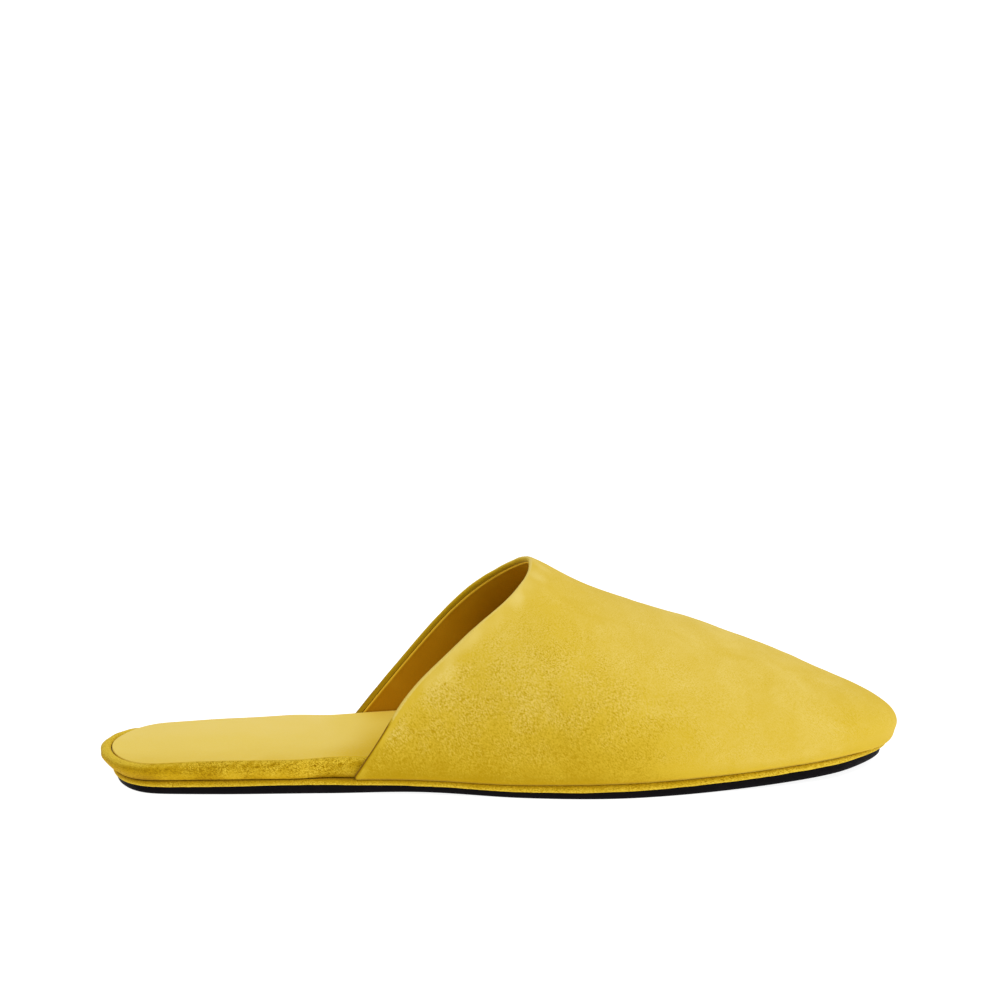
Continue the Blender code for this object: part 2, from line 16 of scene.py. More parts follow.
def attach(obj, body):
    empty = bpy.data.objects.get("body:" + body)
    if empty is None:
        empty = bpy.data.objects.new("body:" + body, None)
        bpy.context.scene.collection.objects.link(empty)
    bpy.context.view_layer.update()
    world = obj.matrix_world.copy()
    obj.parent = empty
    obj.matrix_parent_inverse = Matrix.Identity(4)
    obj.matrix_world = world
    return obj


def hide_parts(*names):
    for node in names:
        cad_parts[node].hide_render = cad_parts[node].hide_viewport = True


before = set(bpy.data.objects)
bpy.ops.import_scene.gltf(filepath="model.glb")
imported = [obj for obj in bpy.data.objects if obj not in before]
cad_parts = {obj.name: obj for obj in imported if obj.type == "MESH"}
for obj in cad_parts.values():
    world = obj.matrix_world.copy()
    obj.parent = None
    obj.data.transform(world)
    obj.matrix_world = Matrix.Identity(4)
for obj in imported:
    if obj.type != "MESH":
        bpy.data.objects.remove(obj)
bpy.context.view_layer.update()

MM = 0.001


def table(names, *rows):
    """Rows of numbers, with a name for each column."""
    return [dict(zip(names.split(), row)) for row in rows]


# Sizes and tables of the CAD

SOLE_LENGTH = 280 * MM
BALL_WIDTH = 88.5 * MM
TOE_TIP_SHIFT = 8.0 * MM
OUTSOLE_THICKNESS = 2.9 * MM
OUTSOLE_INSET = 1.2 * MM
HEEL_BACK_LENGTH = 31 * MM
RIM_THICKNESS = 2.2 * MM
ARCH_LIFT = 0.8 * MM
TOE_SPRING = 3.8 * MM
HEEL_FLAT_END = 76 * MM
FOREPART_FLAT_START = 146 * MM
FOREPART_FLAT_END = 184 * MM
HEEL_STACK = 7.6 * MM
HEEL_END_DROP = 1.8 * MM
HEEL_DROP_LENGTH = 46 * MM
FOREPART_STACK = 4.8 * MM
HEEL_STACK_END = 128 * MM
FOREPART_STACK_START = 200 * MM
SOCK_THICKNESS = 1.2 * MM
SOCK_DISH = 0.9 * MM
ARCH_RISE = 3.0 * MM
ARCH_RISE_CENTRE = 104 * MM
ARCH_RISE_REACH = 62 * MM
SHAPED_SHARE = 0.6
FLARE_SHARE = 0.8
FLARE_POWER = 1.3
WRAP_THICKNESS = 1.2 * MM
WRAP_SIDE_FLARE = 1.9 * MM
WRAP_BACK_FLARE = 4.5 * MM
WRAP_LIP = 3.8 * MM
WRAP_END = 99 * MM
LIP_TAPER_START = 80 * MM
INNER_LIP_TAPER_START = 10 * MM
INNER_LIP_TAPER_END = 42 * MM
SOCK_WIDENING = 5 * MM
TUCK_START = 25 * MM
TUCK_END = 7 * MM
WALL = 2.0 * MM
UPPER_INSET = 0.2 * MM
COLLAR_FOOT = 87.0 * MM
THROAT = 152.0 * MM
THROAT_HEIGHT = 78 * MM
SPINE_END = 258 * MM
SPINE_END_BLEND = 14 * MM
GAP = 0.3 * MM
COLLAR_BREAK = 176 * MM
TIP = math.pi

RIM_OUTLINE = table(
    "along outer inner",
    (0.012, 0.186, 0.160),
    (0.0375, 0.290, 0.259),
    (0.09, 0.327, 0.313),
    (0.15, 0.337, 0.331),
    (0.22, 0.338, 0.339),
    (0.309, 0.343, 0.338),
    (0.39, 0.369, 0.341),
    (0.48, 0.419, 0.380),
    (0.56, 0.460, 0.445),
    (0.636, 0.469, 0.505),
    (0.7, 0.441, 0.535),
    (0.8, 0.364, 0.514),
    (0.87, 0.292, 0.459),
    (0.93, 0.202, 0.377),
    (0.965, 0.112, 0.294),
)

OUTSOLE_EDGE = table(
    "along thickness",
    (0.00, 0.80),
    (0.05, 0.92),
    (0.12, 1.00),
    (0.27, 1.15),
    (0.37, 0.88),
    (0.47, 0.80),
    (0.57, 0.84),
    (0.68, 1.00),
    (0.78, 1.14),
    (0.90, 1.20),
    (1.00, 1.10),
)

RIM_EDGE = table(
    "along thickness",
    (0.00, 0.72),
    (0.05, 0.96),
    (0.12, 1.08),
    (0.20, 0.98),
    (0.27, 0.84),
    (0.37, 0.90),
    (0.47, 0.98),
    (0.57, 1.22),
    (0.68, 1.20),
    (0.80, 1.10),
    (0.90, 1.02),
    (1.00, 0.85),
)

ARCHES = table(
    "along ridge shift outer_lean inner_lean side top",
    (0.29, 1.22, 0.040, 5, 11, 0.72, 0.80),
    (0.43, 1.13, 0.054, 4, 12, 0.72, 0.80),
    (0.51, 1.018, 0.064, 5, 14, 0.72, 0.76),
    (0.543, 0.972, 0.067, 7, 15, 0.71, 0.73),
    (0.58, 0.900, 0.071, 10, 17, 0.69, 0.70),
    (0.64, 0.806, 0.078, 14, 18, 0.66, 0.64),
    (0.75, 0.670, 0.090, 20, 20, 0.64, 0.60),
    (0.87, 0.500, 0.098, 28, 26, 0.68, 0.60),
    (0.93, 0.404, 0.099, 39, 37, 0.66, 0.60),
    (1.00, 0.290, 0.097, 50, 50, 0.64, 0.62),
)

COLLAR_LINE = table(
    "up outer inner",
    (0.00, 0.000, -0.077),
    (0.23, 0.155, 0.130),
    (0.48, 0.340, 0.362),
    (0.65, 0.527, 0.532),
    (0.80, 0.715, 0.718),
    (0.92, 0.895, 0.895),
    (1.00, 1.010, 1.010),
)

# Sizes and tones that only the looks have

SEAM_RISES = (0.0, 0.0015, 0.0035, 0.006, 0.009, 0.013, 0.018, 0.024, 0.032)
FIRST_WIDE_RISE = 0.042
SEAM_ROLL = 0.40 * MM
SEAM_ROLL_HEIGHT = 1.3 * MM
SEAM_ROLL_WIDTH = 1.2 * MM
SEAM_TUCK = 0.40 * MM
SEAM_TUCK_HEIGHT = 0.6 * MM
SEAM_SHADE = 2.0 * MM
WAVES_START = 4 * MM
SUEDE_THICKNESS = 1.15 * MM
SUEDE_CLEARANCE = 0.02 * MM
FACING_WIDTH = 0.7 * MM
FACING_STEPS = np.array([0.0, 0.5, 1.0, 1.5, 2.0, 2.4, 2.62, 2.7]) / 2.7 * FACING_WIDTH
FACING_RISES = np.array([0.0, 0.0, 0.0, 0.0, 0.0, 0.03, 0.14, 0.34]) * MM
GROOVE_WIDTH = 0.16 * MM
GROOVE_DEPTH = 0.35 * MM
COLLAR_BAND = 5.0 * MM
# Round the turned collar edge: a painted highlight on top, painted shade down the facing and the back
FOLD_TONES = (1.0, 1.0, 0.7, 0.0, -0.7, -1.0, -1.15)
# Painted shadow on the collar edge's lower part, by the sock
SHADOWED_EDGE_TONES = (-0.9, -1.7, -1.9, -1.8, -1.6, -1.4, -1.3)
FOLD_NAP = 0.6
BACK_TONE = -1.2
LINING_START = FACING_WIDTH + GROOVE_WIDTH
LINING_CLEARANCE = 0.05 * MM
LINING_EDGE_STEPS = np.array([0.0, 0.03, 0.14, 0.32, 0.55, 0.85, 1.3]) * MM
LINING_EDGE_DEPTHS = np.array([-0.55, -0.1, 0.12, 0.18, 0.17, 0.09, 0.0]) * MM
LINING_EDGE_TONES = (1.0, 1.0, 1.0, 1.0, 0.7, 0.25, 0.15)
TOE_END_LENGTH = 22 * MM
TOE_OVERHANG = 1.1 * MM
OVERHANG_HEIGHT = 4 * MM
LIGHT_HEIGHT = 55 * MM
EDGE_BARE = 0.5 * MM
EDGE_NAP_LENGTH = 1.5 * MM
EDGE_NAP_GROWTH = 6 * MM
# Where the vamp's painted highlights lie along the collar edge, and how far they reach
PAINTED_HIGHLIGHT_EDGE = 3 * MM
PAINTED_HIGHLIGHT_REACH = 4 * MM
TOE_RIM_INSET = 0.7 * MM
TOE_OUTSOLE_INSET = 1.6 * MM
GAP_FILLED = 0.7 * GAP
TREAD_PITCH = 5 * MM
TREAD_SLANT = 0.35
TREAD_DEPTH = 0.3 * MM
TREAD_BORDER = 4 * MM
TREAD_END_ROOM = 8 * MM
TREAD_FADE = 6 * MM
PLAIN_WAIST = 112 * MM
PLAIN_WAIST_REACH = 30 * MM
COVER_INSET = 0.25 * MM
COVER_CLEARANCE = 0.1 * MM
STAIN_X = 13 * MM
STAIN_REACH = 5 * MM

# Where looks change: the place where each change starts and its length, in millimetres
FADES = dict(
    nap_forward=(140, 88),
    nap_upward=(32, 42),
    edge_nap_upward=(24, 30),
    seam_nap_upward=(3, 7),
    # Painted shade low down and towards the heel, painted light towards the toe
    deep_upward=(0, 36),
    deep_forward=(165, 55),
    light_forward=(150, 90),
    toe_tip=(250, 26),
    # Painted shadow on the collar edge's lower part
    edge_shadow_upward=(25, 4),
    # Painted shade deepening down the lining
    lining_forward=(0, 34),
    rim_forward=(200, 60),
    sock_across=(-32, 55),
    # Painted shade on the sock under the vamp
    sock_forward=(72, 26),
    # Painted light on the heel wrap towards the collar
    wrap_forward=(70, 20),
    cover_forward=(1.5, 17),
)

# Random waves, with heights and lengths in millimetres
VAMP_WAVES = (dict(height=0.16, length=26, seed=5), dict(height=0.04, length=7, seed=6))
RIM_WAVES = (dict(height=0.07, length=9, seed=21), dict(height=0.035, length=3, seed=22))
SOCK_WAVES = (dict(height=0.06, length=24, seed=31),)
UPRIGHT_PUCKERS = (dict(height=0.16, length=6, seed=41),)
PUCKERS = (dict(height=0.14, length=14, seed=42),)
UPRIGHT_STRETCH = [1.0, 1.0, 0.35]
# Painted highlights in patches along the vamp's collar edge
VAMP_PAINTED_HIGHLIGHTS = dict(length=13, seed=51)
WRAP_FRAYED = dict(length=1.9, seed=43)
WRAP_WORN = dict(length=13, seed=44)

SIDE_ROWS = 88
OPEN_COLUMNS = 64
TOE_COLUMNS = 88
RING_STEPS = 420
WRAP_STEPS = 300
RIPPLE_WAVES = 28
HALVINGS = 30
WELD_DISTANCE = 2e-6
SHORTEST_EDGE = 1e-7


# Curves


def fair_curve(knots, values, period=None):
    """The smoothest cubic through the values: closed over a period, or with straight ends."""
    t = np.array(knots, float)
    y = np.array(values, float)
    if period:
        t = np.append(t, t[0] + period)
        y = np.append(y, y[0])
    last = len(t) - 1
    step = np.diff(t)
    rise = np.diff(y) / step
    system = np.zeros((last + 1, last + 1))
    target = np.zeros(last + 1)
    for i in range(1, last):
        system[i, i - 1] = step[i - 1]
        system[i, i] = 2 * (step[i - 1] + step[i])
        system[i, i + 1] = step[i]
        target[i] = 6 * (rise[i] - rise[i - 1])
    if period:
        system[0, 0], system[0, last] = 1, -1
        system[last, 0] = 2 * (step[-1] + step[0])
        system[last, 1] = step[0]
        system[last, last - 1] = step[-1]
        target[last] = 6 * (rise[0] - rise[-1])
    else:
        system[0, 0] = system[last, last] = 1
    bend = np.linalg.solve(system, target)

    def at(value):
        value = np.asarray(value, float)
        if period:
            value = t[0] + (value - t[0]) % period
        value = np.clip(value, t[0], t[-1])
        i = np.clip(np.searchsorted(t, value) - 1, 0, last - 1)
        a, b = (t[i + 1] - value) / step[i], (value - t[i]) / step[i]
        curved = ((a**3 - a) * bend[i] + (b**3 - b) * bend[i + 1]) * step[i] ** 2 / 6
        return a * y[i] + b * y[i + 1] + curved

    return at


def column(rows, name, scale=1.0):
    return [row[name] * scale for row in rows]


def as_rows(rows, name):
    """One number a row, to be spread over the row's points."""
    return np.array(column(rows, name), float)[:, None]


def table_curve(rows, name, scale=1.0):
    return fair_curve(column(rows, "along", SOLE_LENGTH), column(rows, name, scale))


def smooth(share):
    share = np.clip(share, 0.0, 1.0)
    return share * share * (3 - 2 * share)


def ramp(value, start, length):
    """Rises smoothly from 0 at the start to 1 a length further on."""
    return smooth((value - start) / length)


def fade(value, name):
    """Rises smoothly from 0 to 1 where FADES says."""
    start, length = FADES[name]
    return ramp(value, start * MM, length * MM)


def hump(value, centre, reach):
    """1 at the centre, falling off smoothly on both sides."""
    return np.exp(-(((value - centre) / reach) ** 2))


def angle_at(along):
    return np.arccos(1 - 2 * np.asarray(along, float))


def closed_outline():
    outer = [(angle_at(row["along"]), -row["outer"] * BALL_WIDTH) for row in RIM_OUTLINE]
    inner = [(2 * TIP - angle_at(row["along"]), row["inner"] * BALL_WIDTH) for row in RIM_OUTLINE]
    knots = [(0.0, 0.0)] + outer + [(TIP, TOE_TIP_SHIFT)] + inner[::-1]
    return fair_curve([k[0] for k in knots], [k[1] for k in knots], period=2 * TIP)


outline_y = closed_outline()


def outline_x(angle):
    return SOLE_LENGTH * (1 - np.cos(angle)) / 2


def unit(vectors):
    return vectors / np.linalg.norm(vectors, axis=-1, keepdims=True)


def outline_normal(angle):
    nudge = 1e-4
    dx = SOLE_LENGTH * np.sin(angle) / 2
    dy = (outline_y(angle + nudge) - outline_y(angle - nudge)) / (2 * nudge)
    return unit(np.stack([dy, -dx], -1))


def outline_point(angle, offset=0.0):
    plan = np.stack([outline_x(angle), outline_y(angle)], -1)
    return plan + np.asarray(offset)[..., None] * outline_normal(angle)


def heel_backness(angle):
    return smooth(1 - outline_x(angle) / HEEL_BACK_LENGTH)


def lift(x):
    arch = np.clip((x - HEEL_FLAT_END) / (FOREPART_FLAT_START - HEEL_FLAT_END), 0, 1)
    spring = np.clip((x - FOREPART_FLAT_END) / (SOLE_LENGTH - FOREPART_FLAT_END), 0, None)
    return ARCH_LIFT * np.sin(math.pi * arch) ** 2 + TOE_SPRING * spring**2


outsole_edge = table_curve(OUTSOLE_EDGE, "thickness", OUTSOLE_THICKNESS)
rim_edge = table_curve(RIM_EDGE, "thickness", RIM_THICKNESS)


def outsole_top(x):
    return lift(x) + outsole_edge(x)


def rim_top(x):
    return outsole_top(x) + GAP + rim_edge(x)


def footbed_height(x):
    taper = smooth((x - HEEL_STACK_END) / (FOREPART_STACK_START - HEEL_STACK_END))
    heel_end = HEEL_END_DROP * (1 - smooth(x / HEEL_DROP_LENGTH))
    stack = HEEL_STACK - heel_end + (FOREPART_STACK - HEEL_STACK) * taper
    top = lift(x) + OUTSOLE_THICKNESS + GAP + RIM_THICKNESS + stack
    return top - rim_top(x) - GAP


def footbed_shape(x, y):
    half = BALL_WIDTH / 2
    ends = smooth(x / half) * smooth((SOLE_LENGTH - x) / half)
    dish = -SOCK_DISH * ends * np.clip(1 - (y / half) ** 2, 0, None)
    along = np.clip(1 - ((x - ARCH_RISE_CENTRE) / ARCH_RISE_REACH) ** 2, 0, None) ** 2
    return dish + ARCH_RISE * along * smooth(y / half)


def footbed_surface(x, y, share):
    flat = rim_top(x) + GAP + footbed_height(x) * share
    return flat + footbed_shape(x, y) * np.minimum(share / SHAPED_SHARE, 1.0)


# The upper's surface: arches from the rim up to the spine

ridge_height = table_curve(ARCHES, "ridge", THROAT_HEIGHT)
ridge_shift = table_curve(ARCHES, "shift", BALL_WIDTH)
lean_outer = table_curve(ARCHES, "outer_lean", math.radians(1))
lean_inner = table_curve(ARCHES, "inner_lean", math.radians(1))
side_handle = table_curve(ARCHES, "side")
top_handle = table_curve(ARCHES, "top")


def spine_x(x):
    early = SPINE_END - SPINE_END_BLEND
    eased = x - np.clip(x - early, 0, None) ** 2 / (4 * SPINE_END_BLEND)
    return np.where(x >= SPINE_END + SPINE_END_BLEND, SPINE_END, eased)


def ridge_slope(x):
    nudge = 0.5 * MM
    return (ridge_height(x + nudge) - ridge_height(x - nudge)) / (2 * nudge)


def upper_point(angle, rise):
    angle, rise = np.broadcast_arrays(np.asarray(angle, float), np.asarray(rise, float))
    x = outline_x(angle)
    foot_plan = outline_point(angle, -UPPER_INSET)
    foot = np.concatenate([foot_plan, (rim_top(foot_plan[..., 0]) + GAP)[..., None]], -1)
    crown_x = spine_x(x)
    crown = np.stack([crown_x, ridge_shift(crown_x), ridge_height(crown_x)], -1)
    across = crown[..., :2] - foot_plan
    reach = np.linalg.norm(across, axis=-1)
    heading = across / reach[..., None]
    lean = np.where(angle <= TIP, lean_outer(x), lean_inner(x))
    out = outline_normal(angle)
    up = np.stack([out[..., 0] * np.sin(lean), out[..., 1] * np.sin(lean), np.cos(lean)], -1)
    slope = ridge_slope(crown_x)
    level = np.stack([heading[..., 0], heading[..., 1], slope * heading[..., 0]], -1)
    side = foot + up * (side_handle(x) * (crown[..., 2] - foot[..., 2]))[..., None]
    top = crown - level * (top_handle(x) * reach)[..., None]
    v = rise[..., None]
    left = 1 - v
    return left**3 * foot + 3 * left**2 * v * side + 3 * left * v**2 * top + v**3 * crown


def upper_normal(angle, rise):
    angle, rise = np.broadcast_arrays(np.asarray(angle, float), np.asarray(rise, float))
    turn = step = 2e-3
    low, high = np.clip(rise - step, 0, 1), np.clip(rise + step, 0, 1)
    round_shoe = upper_point(angle + turn, rise) - upper_point(angle - turn, rise)
    upward = upper_point(angle, high) - upper_point(angle, low)
    slope = ridge_slope(spine_x(outline_x(angle)))
    crown = unit(np.stack([-slope, np.zeros_like(slope), np.ones_like(slope)], -1))
    crossed = np.cross(round_shoe, upward)
    size = np.linalg.norm(crossed, axis=-1, keepdims=True)
    side = crossed / np.where(size > 0, size, 1)
    return np.where((rise >= 0.999)[..., None], crown, side)


outer_forward = fair_curve(column(COLLAR_LINE, "up"), column(COLLAR_LINE, "outer"))
inner_forward = fair_curve(column(COLLAR_LINE, "up"), column(COLLAR_LINE, "inner"))


def collar_x(height, inner_side):
    foot_height = rim_top(COLLAR_FOOT) + GAP
    up = (height - foot_height) / (THROAT_HEIGHT - foot_height)
    forward = inner_forward(up) if inner_side else outer_forward(up)
    return COLLAR_FOOT + (THROAT - COLLAR_FOOT) * forward


def halve(low, high, is_low):
    """Where a test that holds at the low end stops holding, by halving."""
    for _ in range(HALVINGS):
        middle = (low + high) / 2
        below = is_low(middle)
        low, high = np.where(below, middle, low), np.where(below, high, middle)
    return (low + high) / 2


def mirrored(angle, inner_side):
    return 2 * TIP - angle if inner_side else angle


def collar_angle(rises, inner_side):
    """Where the line at each rise meets the collar, as angles on the outer side."""

    def behind_collar(angle):
        point = upper_point(mirrored(angle, inner_side), rises)
        return point[..., 0] < collar_x(point[..., 2], inner_side)

    first = np.full(len(rises), angle_at((COLLAR_FOOT - TUCK_START) / SOLE_LENGTH))
    last = np.full(len(rises), angle_at(COLLAR_BREAK / SOLE_LENGTH))
    return halve(first, last, behind_collar)


# Making meshes


def ripple(points, length, seed):
    """A smooth random field between about -1 and 1, with bumps this many millimetres long."""
    chance = np.random.default_rng(seed)
    headings = unit(chance.normal(size=(RIPPLE_WAVES, 3)))
    numbers = 2 * math.pi / (length * MM * chance.uniform(0.7, 1.5, RIPPLE_WAVES))
    phases = chance.uniform(0, 2 * math.pi, RIPPLE_WAVES)
    field = np.zeros(points.shape[:-1])
    for heading, number, phase in zip(headings, numbers, phases):
        field += np.sin(points @ heading * number + phase)
    return field / math.sqrt(RIPPLE_WAVES)


def waves(points, parts):
    """The heights of some ripples, added up."""
    return sum(part["height"] * MM * ripple(points, part["length"], part["seed"]) for part in parts)


class Skin:
    """Collects grids of points and the faces between them into one welded mesh."""

    def __init__(self):
        self.points = []
        self.values = []
        self.faces = []
        self.count = 0

    def add(self, points, **values):
        """Takes a grid of points with their values, and gives the points' numbers."""
        shape = points.shape[:-1]
        self.points.append(points.reshape(-1, 3))
        self.values.append({k: np.broadcast_to(v, shape).ravel() for k, v in values.items()})
        index = np.arange(self.count, self.count + int(np.prod(shape))).reshape(shape)
        self.count += index.size
        return index

    def quads(self, index):
        """Faces of a grid of point numbers."""
        a, b = index[:-1, :-1], index[:-1, 1:]
        c, d = index[1:, 1:], index[1:, :-1]
        self.faces += np.stack([a, b, c, d], -1).reshape(-1, 4).tolist()

    def polygon(self, index):
        """One face round a line of point numbers."""
        self.faces.append([int(i) for i in index])

    def store_values(self, mesh):
        """Puts each value on the mesh's points, 0 where a grid has none."""
        for key in sorted(set(k for values in self.values for k in values)):
            filled = [
                values.get(key, np.zeros(len(points)))
                for values, points in zip(self.values, self.points)
            ]
            attribute = mesh.attributes.new(key, "FLOAT", "POINT")
            attribute.data.foreach_set("value", np.concatenate(filled).astype(np.float32))

    def make(self, name, material, replaced=()):
        points = np.concatenate(self.points) + place
        mesh = bpy.data.meshes.new(name)
        mesh.from_pydata(points.tolist(), [], self.faces)
        self.store_values(mesh)
        surface = bmesh.new()
        surface.from_mesh(mesh)
        bmesh.ops.remove_doubles(surface, verts=surface.verts, dist=WELD_DISTANCE)
        bmesh.ops.dissolve_degenerate(surface, edges=surface.edges, dist=SHORTEST_EDGE)
        bmesh.ops.recalc_face_normals(surface, faces=surface.faces)
        if surface.calc_volume(signed=True) < 0:
            bmesh.ops.reverse_faces(surface, faces=surface.faces)
        surface.to_mesh(mesh)
        surface.free()
        mesh.shade_smooth()
        made = bpy.data.objects.new(name, mesh)
        bpy.context.scene.collection.objects.link(made)
        mesh.materials.append(material)
        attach(made, "root")
        if replaced:
            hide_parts(*replaced)


heel_corner = min(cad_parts["rim"].data.vertices, key=lambda v: v.co.x).co
place = np.array([heel_corner.x, heel_corner.y, 0.0])


# Materials

SUEDE_LIGHT = (0.780, 0.595, 0.145)
SUEDE_BASE = (0.665, 0.458, 0.030)
SUEDE_DEEP = (0.485, 0.298, 0.004)
# Suede of the rim and heel wrap, darker than the upper's: partly painted shade
RIM_SUEDE_LIGHT = (0.790, 0.560, 0.048)
RIM_SUEDE_BASE = (0.540, 0.330, 0.006)
RIM_SUEDE_DEEP = (0.310, 0.165, 0.001)
# Painted shadow in seams and gaps
PAINTED_SEAM_SHADOW = (0.200, 0.085, 0.000)
SHEEN_TINT = (1.0, 0.86, 0.52, 1)
SOCK_LIGHT = (0.950, 0.745, 0.260)
SOCK_BASE = (0.880, 0.655, 0.115)
SOCK_DEEP = (0.750, 0.490, 0.010)
# A darker copy of the sock's yellow leather: painted shade inside the shoe
LINING_LIGHT = (0.900, 0.560, 0.030)
LINING_BASE = (0.490, 0.212, 0.000)
LINING_DEEP = (0.260, 0.072, 0.000)
RUBBER = (0.004, 0.003, 0.004)
RUBBER_CLEAN = (0.003, 0.002, 0.003)
RUBBER_DUSTY = (0.012, 0.008, 0.012)
BOARD = (0.55, 0.42, 0.20)
BOARD_DARK = (0.44, 0.32, 0.15)
BOARD_LIGHT = (0.62, 0.49, 0.26)

GRAIN_HEIGHT = 0.12 * MM
FIBRE_HEIGHT = 0.15 * MM


def preset(node, values):
    """Sets sockets of a shader node to constants."""
    for socket, value in values.items():
        node.inputs[socket].default_value = value


class Shader:
    """A small helper round one material's node tree."""

    def __init__(self, name, colour, roughness):
        self.material = bpy.data.materials.new(name)
        self.material.use_nodes = True
        self.material.diffuse_color = (*colour, 1)
        self.tree = self.material.node_tree
        self.surface = self.tree.nodes["Principled BSDF"]
        preset(self.surface, {"Base Color": (*colour, 1), "Roughness": roughness})
        self.coords = self.node("ShaderNodeTexCoord").outputs["Object"]

    def node(self, kind, **settings):
        made = self.tree.nodes.new(kind)
        for key, value in settings.items():
            setattr(made, key, value)
        return made

    def link(self, source, target):
        self.tree.links.new(source, target)

    def feed(self, target, value):
        """Sets a socket to a number, or links it to another socket."""
        if isinstance(value, (int, float)):
            target.default_value = value
        else:
            self.link(value, target)

    def mapped(self, scale, turn=(0, 0, 0)):
        """Object coordinates in millimetres, turned and then stretched."""
        mapping = self.node("ShaderNodeMapping", vector_type="TEXTURE")
        preset(mapping, {"Rotation": [math.radians(t) for t in turn], "Scale": [s * MM for s in scale]})
        self.link(self.coords, mapping.inputs["Vector"])
        return mapping.outputs["Vector"]

    def noise(self, size, detail=3.0, rough=0.5, stretch=(1, 1, 1), turn=(0, 0, 0), warp=0.0):
        """Noise whose bumps are about `size` millimetres wide."""
        made = self.node("ShaderNodeTexNoise")
        self.link(self.mapped([size * s for s in stretch], turn), made.inputs["Vector"])
        preset(made, {"Scale": 1.0, "Detail": detail, "Roughness": rough, "Distortion": warp})
        return made.outputs["Fac"]

    def specks(self, size):
        """Distance to the nearest of many points, about `size` millimetres apart."""
        made = self.node("ShaderNodeTexVoronoi")
        self.link(self.mapped((size, size, size)), made.inputs["Vector"])
        preset(made, {"Scale": 1.0, "Randomness": 1.0})
        return made.outputs["Distance"]

    def math(self, operation, first, second, clamp=False):
        made = self.node("ShaderNodeMath", operation=operation, use_clamp=clamp)
        self.feed(made.inputs[0], first)
        self.feed(made.inputs[1], second)
        return made.outputs[0]

    def plus(self, first, second, clamp=False):
        return self.math("ADD", first, second, clamp)

    def minus(self, first, second):
        return self.math("SUBTRACT", first, second)

    def times(self, first, second):
        return self.math("MULTIPLY", first, second)

    def fit(self, value, low, high, to_low=0.0, to_high=1.0):
        """Maps low..high to to_low..to_high, with smooth ends."""
        made = self.node("ShaderNodeMapRange", interpolation_type="SMOOTHSTEP")
        self.feed(made.inputs["Value"], value)
        preset(made, {"From Min": low, "From Max": high, "To Min": to_low, "To Max": to_high})
        return made.outputs["Result"]

    def mix(self, share, first, second):
        made = self.node("ShaderNodeMix", data_type="RGBA")
        self.feed(made.inputs["Factor"], share)
        for socket, value in (("A", first), ("B", second)):
            target = [s for s in made.inputs if s.name == socket and s.type == "RGBA"][0]
            if isinstance(value, tuple):
                target.default_value = (*value, 1)
            else:
                self.link(value, target)
        return [s for s in made.outputs if s.type == "RGBA"][0]

    def three_tones(self, shade, deep, base, light, light_start):
        """Deep at a shade of 0, base in the middle, light at 1."""
        low = self.mix(self.fit(shade, 0.0, 0.5), deep, base)
        return self.mix(self.fit(shade, light_start, 1.0), low, light)

    def field(self, name):
        """A value stored on the mesh's points."""
        return self.node("ShaderNodeAttribute", attribute_name=name).outputs["Fac"]

    def bump(self, height, distance, strength):
        made = self.node("ShaderNodeBump")
        preset(made, {"Distance": distance})
        self.feed(made.inputs["Strength"], strength)
        self.link(height, made.inputs["Height"])
        return made.outputs["Normal"]

    def done(self, colour, normal, roughness=None):
        self.link(colour, self.surface.inputs["Base Color"])
        if roughness is not None:
            self.link(roughness, self.surface.inputs["Roughness"])
        self.link(normal, self.surface.inputs["Normal"])
        return self.material


def suede(name, light, base, deep, sheen, streak_turn):
    """Short-napped suede. The mesh gives how far the nap stands up, and a tone, mostly painted
    light and shade: light at 1, deep at -1 and a painted seam shadow at -2."""
    shader = Shader(name, base, 0.93)
    preset(shader.surface, {"Specular IOR Level": 0.5 * sheen, "Sheen Weight": sheen})
    preset(shader.surface, {"Sheen Roughness": 0.45, "Sheen Tint": SHEEN_TINT})
    nap = shader.field("nap")
    tone = shader.field("tone")
    clouds = shader.noise(17, detail=3.0, rough=0.6, warp=0.6)
    brushed = shader.noise(0.27, detail=1.5, stretch=(0.8, 0.9, 3.6), turn=streak_turn, warp=0.2)
    fibres = shader.noise(0.26, detail=2.0, rough=0.7)
    patches = shader.fit(shader.noise(9.0, detail=3.0), 0.34, 0.60, 0.45, 1.0)
    grain = shader.times(nap, patches)

    # Mottling: clouds everywhere, brushed streaks and fibres where the nap stands up.
    streaks = shader.minus(shader.fit(brushed, 0.30, 0.58), 0.74)
    fine = shader.minus(shader.fit(fibres, 0.3, 0.7), 0.5)
    rough_part = shader.plus(shader.times(streaks, 1.05), shader.times(fine, 0.45))
    shade = shader.times(rough_part, grain)
    shade = shader.plus(shade, shader.times(shader.minus(clouds, 0.5), 0.42))
    shade = shader.plus(shade, shader.times(tone, 0.5))
    shade = shader.plus(shade, shader.times(fine, 0.08))
    shade = shader.plus(shade, 0.5, clamp=True)
    colour = shader.three_tones(shade, deep, base, light, 0.45)

    # Small dark pits between tufts.
    pits = shader.fit(shader.specks(0.62), 0.0, 0.34, 1.0, 0.0)
    chance = shader.fit(shader.noise(1.3, detail=1.0), 0.5, 0.6)
    pitted = shader.times(shader.times(pits, chance), grain)
    colour = shader.mix(shader.times(pitted, 0.6), colour, deep)
    # Tones under -1 blend into the painted seam shadow.
    colour = shader.mix(shader.fit(tone, -1.0, -2.0), colour, PAINTED_SEAM_SHADOW)

    relief = shader.plus(shader.times(brushed, 0.6), shader.times(fibres, 0.4))
    depth = shader.plus(shader.times(grain, 0.75), 0.12, clamp=True)
    return shader.done(colour, shader.bump(relief, GRAIN_HEIGHT, depth))


